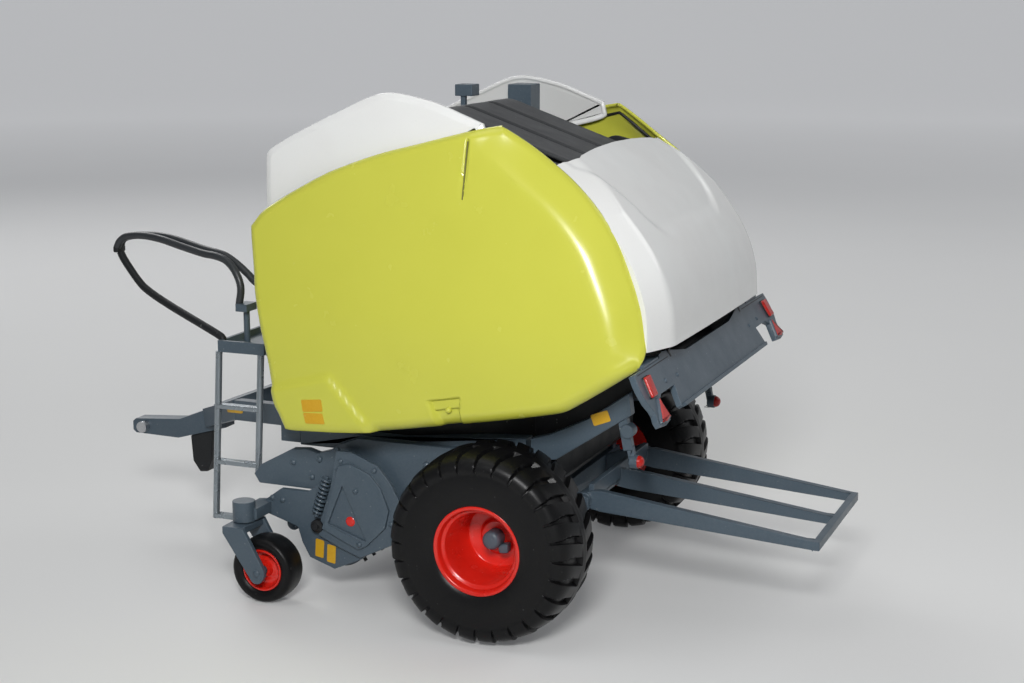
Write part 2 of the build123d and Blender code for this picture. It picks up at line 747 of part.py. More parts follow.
tyre = wheel_tyre(tyre_radius, tyre_width / 2, rim_radius, 3.0, 1.6)
rim = main_rim()
small_tyre = wheel_tyre(castor_radius, castor_width / 2, castor_rim_radius, 1.2, 0.4)
small_rim = castor_rim()
fork = castor_fork()
for side, sign in (("left", 1), ("right", -1)):
    flip = (lambda shape: shape) if sign == 1 else mirrored
    save(f"tyre_{side}", flip(Pos(0, wheel_y, axle_z) * tyre))
    save(f"rim_{side}", flip(Pos(0, wheel_y, axle_z) * rim))
    save(f"castor_tyre_{side}", flip(Pos(castor_x, castor_y, castor_radius) * small_tyre))
    save(f"castor_rim_{side}", flip(Pos(castor_x, castor_y, castor_radius) * small_rim))
    save(f"castor_fork_{side}", flip(fork))
    save(f"front_panel_{side}", flip(front_panel()))
    save(f"hood_{side}", flip(hood()))

save("axle_beam", axle_beam())
save("side_beams", group(side_beam(), mirrored(side_beam())))
wall = chamber_wall_side() - block(beam_x, (0, 40), beam_z)
save("chamber_walls", wall + mirrored(wall))
save("cross_tubes", tubes(cross_tube_table, chamber_half))
save("chamber_rollers", tubes(roller_table, chamber_half))
save("belts", belts())
save("top_frame", top_frame())
save("hood_brackets", group(hood_bracket(), mirrored(hood_bracket())))
save("drawbar", drawbar())
save("towing_pin", group(towing_pin(), mirrored(towing_pin())))
save("gearbox", gearbox())
save("net_box", net_box())
save("ladder", ladder())
save("platform", platform())
save("hose_holder", hose_holder())
save("hoses", hoses())
save("parking_foot", parking_foot())
save("ramp_mount", ramp_mount())

save("pickup_frame", pickup_frame())
save("drive_covers", group(drive_cover(), mirrored(drive_cover())))
save("pickup_guards", pickup_guards())
save("crop_roller", crop_roller())
save("pickup_reel", pickup_reel())

save("tailgate_shell", tailgate_shell())
for name, shape in (("tailgate_walls", tailgate_wall()), ("tailgate_beams", tailgate_beam())):
    fitted = shape - light_bar()
    save(name, group(fitted, mirrored(fitted)))
save("light_bar", light_bar())
save("rear_lamps", rear_lamps())
save("lamp_stalks", group(lamp_stalk(), mirrored(lamp_stalk())))
save("tailgate_rollers", tubes(gate_roller_table, gate_plate[0]))

save("bale_ramp", bale_ramp())
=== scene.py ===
import json
import math
import bpy
import bmesh
import numpy as np
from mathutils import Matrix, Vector
from mathutils.bvhtree import BVHTree


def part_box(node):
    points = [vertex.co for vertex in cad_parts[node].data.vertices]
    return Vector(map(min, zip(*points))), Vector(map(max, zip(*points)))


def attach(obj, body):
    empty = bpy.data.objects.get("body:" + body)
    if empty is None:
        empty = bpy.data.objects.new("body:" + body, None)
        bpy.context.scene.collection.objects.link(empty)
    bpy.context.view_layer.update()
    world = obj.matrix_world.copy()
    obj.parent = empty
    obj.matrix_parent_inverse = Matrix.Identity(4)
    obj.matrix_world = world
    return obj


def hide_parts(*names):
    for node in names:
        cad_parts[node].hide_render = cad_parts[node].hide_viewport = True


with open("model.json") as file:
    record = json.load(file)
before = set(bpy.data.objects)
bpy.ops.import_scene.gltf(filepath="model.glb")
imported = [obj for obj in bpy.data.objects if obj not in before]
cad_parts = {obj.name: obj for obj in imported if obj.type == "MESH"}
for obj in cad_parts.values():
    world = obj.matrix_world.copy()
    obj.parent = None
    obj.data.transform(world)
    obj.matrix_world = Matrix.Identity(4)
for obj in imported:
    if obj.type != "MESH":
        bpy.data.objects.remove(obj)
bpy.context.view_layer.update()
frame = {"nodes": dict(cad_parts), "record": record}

# Drawings below are in mm from the main axle: X forward, Y to the left, Z up from the ground.
rimLow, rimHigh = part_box("rim_left")
axleX = (rimLow.x + rimHigh.x) / 2
wheelY = (rimLow.y + rimHigh.y) / 2 * 1000


def toFrame(points):
    # mm from the main axle to metres in the shared frame
    return np.asarray(points, float) * 0.001 + np.array([axleX, 0.0, 0.0])


# camera

camera = {"place": (-114.6, 310.8, 111.9), "yaw": 21.96, "pitch": 11.34, "lens": 63.28}


def addCamera(c):
    yaw, pitch = math.radians(c["yaw"]), math.radians(c["pitch"])
    look = Vector((math.sin(yaw) * math.cos(pitch), -math.cos(yaw) * math.cos(pitch), -math.sin(pitch)))
    data = bpy.data.cameras.new("camera")
    data.lens, data.sensor_width = c["lens"], 36.0
    data.clip_start, data.clip_end = 0.01, 20.0
    eye = bpy.data.objects.new("camera", data)
    eye.location = Vector(toFrame(c["place"]))
    eye.rotation_euler = look.to_track_quat("-Z", "Y").to_euler()
    bpy.context.scene.collection.objects.link(eye)
    bpy.context.scene.camera = eye


addCamera(camera)
print("camera placed")

# finishes


def nodeTree(name):
    material = bpy.data.materials.new(name)
    material.use_nodes = True
    tree = material.node_tree
    tree.nodes.clear()
    output = tree.nodes.new("ShaderNodeOutputMaterial")
    shader = tree.nodes.new("ShaderNodeBsdfPrincipled")
    tree.links.new(shader.outputs["BSDF"], output.inputs["Surface"])
    coords = tree.nodes.new("ShaderNodeTexCoord")
    return material, tree, shader, coords.outputs["Object"]


def noiseAt(tree, coords, scale, detail=3.0, rough=0.55, stretch=None):
    if stretch:
        mapping = tree.nodes.new("ShaderNodeMapping")
        mapping.inputs["Scale"].default_value = stretch
        tree.links.new(coords, mapping.inputs["Vector"])
        coords = mapping.outputs["Vector"]
    noise = tree.nodes.new("ShaderNodeTexNoise")
    noise.inputs["Scale"].default_value = scale
    noise.inputs["Detail"].default_value = detail
    noise.inputs["Roughness"].default_value = rough
    tree.links.new(coords, noise.inputs["Vector"])
    return noise.outputs["Fac"]


def remap(tree, value, fromLow, fromHigh, toLow, toHigh):
    node = tree.nodes.new("ShaderNodeMapRange")
    ends = {"From Min": fromLow, "From Max": fromHigh, "To Min": toLow, "To Max": toHigh}
    for socket, number in ends.items():
        node.inputs[socket].default_value = number
    tree.links.new(value, node.inputs["Value"])
    return node.outputs["Result"]


def mixColour(tree, share, first, second):
    node = tree.nodes.new("ShaderNodeMix")
    node.data_type = "RGBA"
    for socket, colour in ((node.inputs[6], first), (node.inputs[7], second)):
        if isinstance(colour, tuple):
            socket.default_value = (*colour, 1.0)
        else:
            tree.links.new(colour, socket)
    tree.links.new(share, node.inputs[0])
    return node.outputs[2]


def bumpFrom(tree, shader, heights):
    # heights: rows of (value, strength, distance in mm), one bump chained on the next
    normal = None
    for value, strength, distance in heights:
        bump = tree.nodes.new("ShaderNodeBump")
        bump.inputs["Strength"].default_value = strength
        bump.inputs["Distance"].default_value = distance * 0.001
        tree.links.new(value, bump.inputs["Height"])
        if normal:
            tree.links.new(normal, bump.inputs["Normal"])
        normal = bump.outputs["Normal"]
    tree.links.new(normal, shader.inputs["Normal"])


def mouldedFinish(name, look):
    # A moulded or sprayed surface: slow cloudy tint, fine speckle, pale dust in spots, uneven gloss and
    # a faint orange peel.
    material, tree, shader, coords = nodeTree(name)
    cloud = remap(tree, noiseAt(tree, coords, look["cloudScale"], 2.0), 0.3, 0.7, 0.0, 1.0)
    tint = mixColour(tree, cloud, look["colour"], look["shade"])
    speckle = noiseAt(tree, coords, look["grainScale"], 4.0, 0.7)
    grain = remap(tree, speckle, 0.35, 0.75, 0.0, look["grainShare"])
    tint = mixColour(tree, grain, tint, look["grainColour"])
    dust, cut = noiseAt(tree, coords, look["dustScale"], 1.0), look["dustCut"]
    spots = remap(tree, dust, cut, cut + 0.05, 0.0, look["dustShare"])
    tint = mixColour(tree, spots, tint, look["dustColour"])
    tree.links.new(tint, shader.inputs["Base Color"])
    gloss = noiseAt(tree, coords, look["glossScale"], 3.0)
    tree.links.new(remap(tree, gloss, 0.3, 0.7, *look["roughness"]), shader.inputs["Roughness"])
    shader.inputs["Specular IOR Level"].default_value = look.get("specular", 0.5)
    shader.inputs["Coat Weight"].default_value = look.get("coat", 0.0)
    shader.inputs["Coat Roughness"].default_value = look.get("coatRoughness", 0.1)
    shader.inputs["Metallic"].default_value = look.get("metallic", 0.0)
    peel = noiseAt(tree, coords, look["peelScale"], 2.0)
    fine = noiseAt(tree, coords, look["fineScale"], 3.0)
    bumpFrom(tree, shader, [(peel, look["peel"], 0.05), (fine, look["fine"], 0.02)])
    return material


base = {
    "cloudScale": 60.0, "grainScale": 2600.0, "grainShare": 0.2,
    "dustScale": 1500.0, "dustCut": 0.74, "dustShare": 0.16, "dustColour": (0.62, 0.62, 0.6),
    "glossScale": 220.0, "peelScale": 420.0, "fineScale": 4000.0, "peel": 0.035, "fine": 0.08,
}

finishes = {
    "lime": {**base, "colour": (0.57, 0.575, 0.07), "shade": (0.55, 0.557, 0.065),
             "grainColour": (0.62, 0.61, 0.1), "grainShare": 0.12, "roughness": (0.245, 0.275), "coat": 0.12,
             "coatRoughness": 0.1, "dustShare": 0.04, "dustColour": (0.8, 0.8, 0.6)},
    "white": {**base, "colour": (0.80, 0.81, 0.795), "shade": (0.77, 0.77, 0.755),
              "grainColour": (0.84, 0.84, 0.83), "roughness": (0.18, 0.27), "coat": 0.3,
              "dustColour": (0.5, 0.5, 0.48), "dustShare": 0.1},
    "grey": {**base, "colour": (0.066, 0.095, 0.122), "shade": (0.054, 0.08, 0.106),
             "grainColour": (0.13, 0.16, 0.185), "grainShare": 0.25, "roughness": (0.33, 0.46), "fine": 0.16,
             "dustShare": 0.18},
    "rail": {**base, "colour": (0.3, 0.34, 0.37), "shade": (0.22, 0.26, 0.29),
             "grainColour": (0.36, 0.39, 0.41), "grainShare": 0.25, "roughness": (0.24, 0.34),
             "metallic": 0.7, "coat": 0.5, "coatRoughness": 0.12, "fine": 0.1},
    "black": {**base, "colour": (0.011, 0.012, 0.014), "shade": (0.008, 0.009, 0.01),
              "grainColour": (0.034, 0.036, 0.038), "grainShare": 0.2, "roughness": (0.42, 0.56),
              "specular": 0.35, "fine": 0.2},
    "belt": {**base, "colour": (0.036, 0.038, 0.04), "shade": (0.026, 0.028, 0.031),
             "grainColour": (0.075, 0.078, 0.08), "grainShare": 0.35, "roughness": (0.5, 0.62),
             "specular": 0.35, "fine": 0.35},
    "rubber": {**base, "colour": (0.0055, 0.0055, 0.006), "shade": (0.004, 0.004, 0.0045),
               "grainColour": (0.016, 0.016, 0.016), "grainShare": 0.2, "roughness": (0.33, 0.43),
               "specular": 0.22, "fine": 0.2, "dustShare": 0.05, "peel": 0.08},
    "red": {**base, "colour": (0.72, 0.018, 0.009), "shade": (0.62, 0.013, 0.007),
            "grainColour": (0.8, 0.04, 0.02), "roughness": (0.2, 0.3), "coat": 0.2, "dustShare": 0.08},
    "lens": {**base, "colour": (0.5, 0.016, 0.01), "shade": (0.4, 0.011, 0.008),
             "grainColour": (0.6, 0.04, 0.03), "roughness": (0.26, 0.34), "coat": 0.1, "specular": 0.35,
             "dustShare": 0.04},
    "steel": {**base, "colour": (0.62, 0.63, 0.64), "shade": (0.5, 0.51, 0.53),
              "grainColour": (0.8, 0.8, 0.8), "roughness": (0.22, 0.36), "metallic": 1.0},
    # painted shade: a darker lime for the thin tube laid in the hood's groove, standing for the shade inside
    # the groove
    "seam": {**base, "colour": (0.15, 0.15, 0.02), "shade": (0.11, 0.11, 0.015),
             "grainColour": (0.2, 0.2, 0.04), "roughness": (0.5, 0.6)},
    "amber": {**base, "colour": (0.66, 0.37, 0.012), "shade": (0.58, 0.31, 0.01),
              "grainColour": (0.75, 0.5, 0.05), "roughness": (0.35, 0.45)},
    "hose": {**base, "colour": (0.03, 0.034, 0.038), "shade": (0.02, 0.023, 0.026),
             "grainColour": (0.07, 0.075, 0.08), "roughness": (0.38, 0.5), "fine": 0.3},
}
material = {name: mouldedFinish(name, look) for name, look in finishes.items()}
slotFinish = {"grey_paint": "grey", "lime_plastic": "lime", "white_plastic": "white", "dark_plastic": "black",
              "belt": "belt", "tyre": "rubber", "rim_red": "red", "lamp_red": "lens", "steel": "steel",
              "bright_metal": "rail", "hose": "hose"}
nodeSlot = {part["node"]: part["material_slot"] for part in frame["record"]["subparts"]}
bodyOf = {node: body for body, nodes in frame["record"]["behaviour"]["bodies"].items() for node in nodes}
for node, shown in frame["nodes"].items():
    shown.data.materials.clear()
    shown.data.materials.append(material[slotFinish[nodeSlot[node]]])
print("finishes made:", len(material))

# ways to make a surface


def quadIndex(rows, columns, closeU, closeV, start=0):
    # the four corners of each cell of a rows x columns grid of points
    index = start + np.arange(rows * columns).reshape(rows, columns)
    if closeU:
        index = np.concatenate([index, index[:1]], 0)
    if closeV:
        index = np.concatenate([index, index[:, :1]], 1)
    return np.stack([index[:-1, :-1], index[1:, :-1], index[1:, 1:], index[:-1, 1:]], -1).reshape(-1, 4)


def makeMesh(name, sheets):
    # sheets: rows of (grid of points in mm, closeU, closeV, caps)
    # grid[i, j] is the point at step i along u and j along v
    points, faces, start = [], [], 0
    for grid, closeU, closeV, caps in sheets:
        rows, columns = grid.shape[:2]
        points.append(grid.reshape(-1, 3))
        faces += quadIndex(rows, columns, closeU, closeV, start).tolist()
        last = start + (rows - 1) * columns
        if "u" in caps:       # close the first and the last ring of v
            faces += [list(range(row, row + columns)) for row in (start, last)]
        if "v" in caps:
            faces += [list(range(row, last + columns, columns)) for row in (start, start + columns - 1)]
        start += rows * columns
    mesh = bpy.data.meshes.new(name)
    mesh.from_pydata(toFrame(np.concatenate(points)).tolist(), [], faces)
    work = bmesh.new()
    work.from_mesh(mesh)
    bmesh.ops.remove_doubles(work, verts=work.verts, dist=2e-6)
    bmesh.ops.dissolve_degenerate(work, edges=work.edges, dist=1e-7)
    bmesh.ops.recalc_face_normals(work, faces=work.faces)
    work.to_mesh(mesh)
    work.free()
    return mesh


def addPiece(name, mesh, finish, body, slot=None, replaces=(), sharp=35.0):
    piece = bpy.data.objects.new(name, mesh)
    bpy.context.scene.collection.objects.link(piece)
    mesh.materials.clear()
    mesh.materials.append(material[finish])
    mesh.shade_smooth()
    mesh.set_sharp_from_angle(angle=math.radians(sharp))
    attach(piece, body)
    if replaces:
        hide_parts(*replaces)
    return piece


def addSheets(name, sheets, *rest, **settings):
    # a piece made straight from its sheets
    return addPiece(name, makeMesh(name, sheets), *rest, **settings)


def finishWith(piece, kind, **settings):
    modifier = piece.modifiers.new(kind.lower(), kind)
    for setting, value in settings.items():
        setattr(modifier, setting, value)


def thicken(piece, wall, **settings):
    finishWith(piece, "SOLIDIFY", thickness=wall * 0.001, offset=-1.0, **settings)


def roundCorners(piece, width, angle, **settings):
    finishWith(piece, "BEVEL", width=width * 0.001, segments=2, limit_method="ANGLE",
               angle_limit=math.radians(angle), harden_normals=True, **settings)


def softenedCopy(node, width):
    # the CAD node's own shape with its corners rounded off by width mm
    mesh = frame["nodes"][node].data.copy()
    work = bmesh.new()
    work.from_mesh(mesh)
    bmesh.ops.remove_doubles(work, verts=work.verts, dist=2e-6)
    bmesh.ops.dissolve_limit(work, angle_limit=math.radians(1.0), verts=work.verts, edges=work.edges)
    if node in shortened:
        reach, amount = shortened[node]
        for vertex in work.verts:
            vertex.co.x -= amount * 0.001 * (vertex.co.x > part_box(node)[1][0] - reach * 0.001)
    work.to_mesh(mesh)
    work.free()
    slot = nodeSlot[node]
    piece = addPiece(node + "_soft", mesh, slotFinish[slot], bodyOf[node], slot, [node])
    roundCorners(piece, width, 30.0, use_clamp_overlap=node in limited, miter_outer="MITER_ARC")


limited = ("platform", "drawbar", "net_box", "gearbox")       # their small edges need a held-back rounding
# front end that is moved back: its depth and the move, in mm
shortened = {"platform": (3.0, 1.3)}
softened = [
    # node, rounding in mm
    ("axle_beam", 0.15), ("side_beams", 0.15), ("drive_covers", 0.12), ("cross_tubes", 0.12),
    ("top_frame", 0.15), ("drawbar", 0.2), ("gearbox", 0.2), ("net_box", 0.2), ("ladder", 0.1),
    ("platform", 0.1), ("ramp_mount", 0.12), ("pickup_frame", 0.12), ("pickup_guards", 0.12),
    ("castor_fork_left", 0.15), ("castor_fork_right", 0.15), ("tailgate_walls", 0.15),
    ("tailgate_beams", 0.2), ("light_bar", 0.1), ("lamp_stalks", 0.1), ("bale_ramp", 0.15),
    ("parking_foot", 0.2), ("chamber_walls", 0.15),
]
for node, width in softened:
    softenedCopy(node, width)
print("corners rounded on", len(softened), "nodes")

# lines and shapes that the pieces share


def spread(line, places):
    # the same line with points at the given shares of its length
    line = np.asarray(line, float)
    reach = np.concatenate([[0.0], np.cumsum(np.linalg.norm(np.diff(line, axis=0), axis=1))])
    return np.stack([np.interp(np.asarray(places) * reach[-1], reach, axis) for axis in line.T], 1)


def smoothLine(points, places):
    # cubic through every point, each stretch from its four nearest points
    p = np.asarray(points, float)
    p = np.vstack([2 * p[0] - p[1], p, 2 * p[-1] - p[-2]])
    t = np.linspace(0, len(p) - 3 - 1e-9, 60 * len(p))
    k = t.astype(int)
    f = (t - k)[:, None]
    a, b, c, d = p[k], p[k + 1], p[k + 2], p[k + 3]
    line = 0.5 * (2 * b + (c - a) * f + (2 * a - 5 * b + 4 * c - d) * f**2 + (3 * b - a - 3 * c + d) * f**3)
    return spread(line, places if np.ndim(places) else np.linspace(0, 1, places))


def roundedOutline(corners, count):
    # straight runs between (a, b, cut) corners; each corner is cut back by its third number and bridged by a
    # parabola
    c = np.asarray(corners, float)
    point, cut = c[:, :2], c[:, 2:3]
    before, after = np.roll(point, 1, 0) - point, np.roll(point, -1, 0) - point
    start = point + before / np.linalg.norm(before, axis=1, keepdims=True) * cut
    end = point + after / np.linalg.norm(after, axis=1, keepdims=True) * cut
    t = np.linspace(0, 1, 9)[:, None, None]
    line = ((1 - t) ** 2 * start + 2 * t * (1 - t) * point + t**2 * end).transpose(1, 0, 2).reshape(-1, 2)
    return spread(np.vstack([line, line[:1]]), np.arange(count) / count)


def drawnIn(outline, depth):
    # the outline moved towards its inside by depth, along the mean of the two edge normals at each point
    ahead = np.roll(outline, -1, 0) - np.roll(outline, 1, 0)
    normal = np.stack([-ahead[:, 1], ahead[:, 0]], 1)
    normal /= np.linalg.norm(normal, axis=1, keepdims=True) + 1e-12
    area = np.sum(outline[:, 0] * np.roll(outline[:, 1], -1) - np.roll(outline[:, 0], -1) * outline[:, 1])
    return outline + normal * depth * np.sign(area)


def plateSheet(outline, rings, axis=1):
    # a profile of (drawn in, height) rings carried round an outline; the first and last ring are closed flat
    grid = np.stack([np.insert(drawnIn(outline, depth), axis, height, axis=1) for depth, height in rings])
    return grid, False, True, "u"


def edgeRings(low, high, edge, steps=3):
    # both edges rounded by a quarter circle of radius edge
    turn = np.linspace(0, math.pi / 2, steps + 1)
    bottom = [(edge * (1 - math.sin(a)), low + edge * (1 - math.cos(a))) for a in turn]
    top = [(edge * (1 - math.cos(a)), high - edge * (1 - math.sin(a))) for a in turn]
    return bottom + top


def turnedSheet(profile, centre, steps, closed=True, axis=1):
    # rows of (radius, place along the axis) carried round the axis through centre
    p = np.asarray(profile, float)
    a = np.linspace(0, 2 * math.pi, steps, endpoint=False)[:, None]
    ring = [p[None, :, 0] * np.cos(a), p[None, :, 0] * np.sin(a)]
    ring.insert(axis, np.broadcast_to(p[None, :, 1], ring[0].shape))
    return np.stack(ring, -1) + np.asarray(centre, float), True, closed, ""


def tubeSheet(line, radius, sides=12):
    # a circle carried along a line of points, standing across the line everywhere, with its ends closed
    line = np.asarray(line, float)
    along = np.gradient(line, axis=0)
    along /= np.linalg.norm(along, axis=1, keepdims=True)
    fixed = np.array([0.13, 0.05, 0.99]) if abs(along[:, 2]).mean() < 0.8 else np.array([0.99, 0.1, 0.05])
    side = np.cross(along, fixed)
    side /= np.linalg.norm(side, axis=1, keepdims=True)
    up = np.cross(side, along)
    a = np.linspace(0, 2 * math.pi, sides, endpoint=False)[None, :, None]
    r = np.broadcast_to(np.asarray(radius, float), (len(line),))[:, None, None]
    return line[:, None, :] + r * (np.cos(a) * side[:, None] + np.sin(a) * up[:, None]), False, True, "u"


def domeSheet(centre, direction, radius, height, steps=12, rise=4):
    # a low dome on a short wall: radius r cos(a) against height r sin(a), turned about direction
    d = Vector(direction).normalized()
    turn = np.array(d.to_track_quat("Z", "Y").to_matrix())
    a = np.linspace(0, math.pi / 2, rise + 1)
    dome = np.stack([radius * np.cos(a), height * np.sin(a)], 1)
    profile = np.concatenate([[(radius, -0.3 * height)], dome])
    profile[-1, 0] = 0.02 * radius
    grid = turnedSheet(profile, (0, 0, 0), steps, closed=False, axis=2)[0]
    return grid @ turn.T + np.asarray(centre, float), True, False, "v"


def otherSide(sheet):
    grid, closeU, closeV, caps = sheet
    return grid * np.array([1.0, -1.0, 1.0]), closeU, closeV, caps


def bothSides(sheets):
    return sheets + [otherSide(sheet) for sheet in sheets]


def onSide(side, *sheets):
    # sheets drawn for the left side, turned over for the right one
    return list(sheets) if side == "left" else [otherSide(sheet) for sheet in sheets]


def soften(value):
    value = np.clip(value, 0.0, 1.0)
    return value * value * (3 - 2 * value)


def lineGap(points, line):
    # shortest distance of every (a, b) point to the runs of a line, from each point's foot on each run
    flat = points.reshape(-1, 1, 2)
    start, run = line[:-1], np.diff(line, axis=0)
    share = np.clip(np.sum((flat - start) * run, 2) / np.sum(run**2, 1), 0, 1)
    return np.linalg.norm(flat - start - share[..., None] * run, axis=2).min(1).reshape(points.shape[:2])


def rolledDrop(gap, radius, steepest):
    # how far a rounded edge falls: a circular arc that ends at the given slope where gap is 0
    width = radius * math.sin(math.radians(steepest))
    return radius - np.sqrt(np.clip(radius**2 - np.clip(width - gap, 0, None) ** 2, 0, None))


def between(bottom, top, front, rear, u, v):
    # surface held by four curves: two across, blended along v, and two up, blended along u, less the corners
    u, v = u[:, None, None], v[None, :, None]
    ruled = (1 - v) * bottom[:, None] + v * top[:, None] + (1 - u) * front[None] + u * rear[None]
    corners = ((1 - u) * (1 - v) * bottom[0] + u * (1 - v) * bottom[-1]
               + (1 - u) * v * top[0] + u * v * top[-1])
    return ruled - corners


# side hoods

hoodShape = {
    "top": [(46.4, 69.5), (43.3, 72.8), (34.5, 77.9), (28.9, 80.4), (22.0, 82.8), (15.1, 84.6), (9.4, 86.1),
            (4.6, 87.3), (0.3, 88.1)],
    "rear": [(-26.2, 49.4), (-26.9, 51.2), (-26.9, 53.6), (-26.3, 56.3), (-25.3, 59.7), (-23.4, 64.4),
             (-20.5, 70.3), (-16.7, 75.2), (-12.9, 78.9), (-9.3, 81.7), (-4.9, 84.9), (-1.5, 87.1),
             (0.3, 88.1)],
    "bottom": [(38.7, 34.0), (35.5, 33.9), (21.7, 34.8), (4.8, 37.6), (-3.5, 39.1), (-10.9, 40.6),
               (-13.5, 41.3), (-15.7, 42.5), (-21.0, 45.9), (-26.2, 49.4)],
    "front": [(38.7, 34.0), (39.8, 36.3), (41.1, 39.1), (42.3, 45.9), (43.7, 51.6), (45.0, 57.8),
              (45.4, 61.6), (46.2, 67.4), (46.4, 69.5)],
    "lowY": 38.8, "bendZ": 52.0, "lean": 0.1475, "bendWidth": 2.5,
    # rounding of each edge: radius and the slope in degrees that it reaches
    "roll": {"top": (1.6, 80.0), "rear": (0.9, 70.0), "bottom": (2.3, 80.0), "front": (1.5, 80.0)},
    "bevel": (4.6, 0.8, 1.4),              # bevelled band of the rear edge: width, fall per mm, softness
    "fade": ((47.0, 8.0), (-9.0, 21.0)),   # the band's fade by height and by gap to the top: start, reach
    "liner": (2.2, 1.7),                   # inner panel: distance from the edge, depth under the outer face
    # the last number is the radius of the black tube round the liner, which is painted shade in the gap
    # between liner and outer skin
    "flange": 1.9, "rearFlange": 0.35, "wall": 0.6, "gapShade": 0.3,
    "pad": ((29.7, 44.2), (21.6, 35.4), (37.7, 42.1)), "padHeight": 0.75, "padSlope": 1.2,
    "latch": (4.7, 11.6, 42.5), "latchDepth": 1.1,
    "groove": ((5.2, 85.8), (5.65, 75.5)), "grooveWidth": 0.32, "grooveDepth": 0.45,
}


def hoodOuterY(z, h):
    # upright below the bend, leaning in above it, with a soft bend
    w = h["bendWidth"]
    over = w * np.log1p(np.exp(np.clip((z - h["bendZ"]) / w, -30, 30)))
    return h["lowY"] - h["lean"] * over


def hoodSheet(h):
    t = np.linspace(0, 1, 120)
    eased = t - 0.8 * np.sin(2 * math.pi * t) / (2 * math.pi)        # closer together towards both ends
    finer = [np.linspace(0.4, 0.54, 30) + 3e-4, np.linspace(0.77, 0.93, 90) + 3e-4]
    u = np.sort(np.concatenate([eased, *finer]))
    v = np.sort(np.concatenate([eased, np.linspace(0.02, 0.16, 26) + 3e-4]))
    bottom, top = smoothLine(h["bottom"], u), smoothLine(h["top"], u)
    front, rear = smoothLine(h["front"], v), smoothLine(h["rear"], v)
    flat = between(bottom, top, front, rear, u, v)
    x, z = flat[..., 0], flat[..., 1]
    y = hoodOuterY(z, h)
    a, b, c = (np.array(point) for point in h["pad"])
    rearSide = np.cross(b - a, np.stack([x, z], -1) - a) / np.linalg.norm(b - a)
    upSide = -np.cross(c - a, np.stack([x, z], -1) - a) / np.linalg.norm(c - a)
    pad = soften(np.minimum(rearSide, upSide) / h["padSlope"] + 0.5)
    y = y + h["padHeight"] * (pad - 0.35)
    drop = 0
    edges = {edge: smoothLine(h[edge], 120) for edge in h["roll"]}
    for edge, (radius, steepest) in h["roll"].items():
        fall = rolledDrop(lineGap(flat, edges[edge]), radius, steepest)
        drop = np.maximum(drop, fall * (1 - 0.6 * pad) if edge == "bottom" else fall)
    band, rate, soft = h["bevel"]
    rearGap = lineGap(flat, edges["rear"])
    over = soft * np.log1p(np.exp(np.clip((band - rearGap) / soft * 2, -30, 30))) / 2 * rate
    (footZ, footReach), (topFrom, topReach) = h["fade"]
    fade = soften((z - footZ) / footReach) * soften((lineGap(flat, edges["top"]) - topFrom) / topReach)
    over = over * fade
    plain = hoodOuterY(z, h) - over
    y = y - np.maximum(drop, 0) - over
    lowX, highX, topZ = h["latch"]
    inside = np.minimum(np.minimum((x - lowX) / 0.6, (topZ - 0.18 * (x - 6.2) - z) / 0.7),
                        (highX - 0.4 * (topZ - z) - x) / 1.3)
    y = y - h["latchDepth"] * soften(inside)
    (x1, z1), (x2, z2) = h["groove"]
    off = np.abs(x - (x1 + (z1 - z) / (z1 - z2) * (x2 - x1)))
    within = soften((z - z2) / 1.0 + 0.5) * soften((z1 - z) / 0.6 + 0.5)
    y = y - h["grooveDepth"] * soften(1.0 - off / h["grooveWidth"]) * within
    grid = np.stack([x, y, z], -1)
    skirt = np.pad(grid, ((1, 1), (1, 1), (0, 0)), mode="edge")
    edge = np.ones(skirt.shape[:2], bool)
    edge[1:-1, 1:-1] = False
    turned = hoodOuterY(skirt[..., 2], h) - h["flange"]
    turned[-1] = skirt[-2, :, 1] - h["rearFlange"]
    turned[-9:] = np.linspace(turned[-9], turned[-1], 9)
    skirt[..., 1] = np.where(edge, np.minimum(turned, skirt[..., 1] - 0.2), skirt[..., 1])
    inset, depth = h["liner"]
    around = [edges["bottom"], edges["rear"], edges["top"][::-1], edges["front"][::-1]]
    gap = lineGap(flat, np.concatenate(around))
    middle = gap[len(u) // 2] > inset
    rows = gap[:, len(v) // 2] > inset
    liner = np.stack([x, plain - depth, z], -1)[rows][:, middle][::3, ::3]
    # the liner's edge all round, carrying a black tube that is painted shade in the gap between the liner and
    # the outer skin
    gapShade = np.concatenate([liner[:, 0], liner[-1, 1:], liner[-2::-1, -1], liner[0, -2:0:-1]])
    rim = np.pad(liner, ((1, 1), (1, 1), (0, 0)), mode="edge")
    border = np.ones(rim.shape[:2], bool)
    border[1:-1, 1:-1] = False
    rim[..., 1] = np.where(border, rim[..., 1] + depth - 1.4, rim[..., 1])
    gapShadeLine = spread(np.vstack([gapShade, gapShade[:1]]), np.linspace(0, 1, 240))
    return (skirt, False, False, ""), (rim, False, False, ""), tubeSheet(gapShadeLine, h["gapShade"], 8)


def faceOutward(mesh, direction):
    # an open sheet is turned over where its mean normal points away from direction
    mean = sum((face.normal * face.area for face in mesh.polygons), Vector())
    if mean.dot(Vector(direction)) < 0:
        mesh.flip_normals()
    return mesh


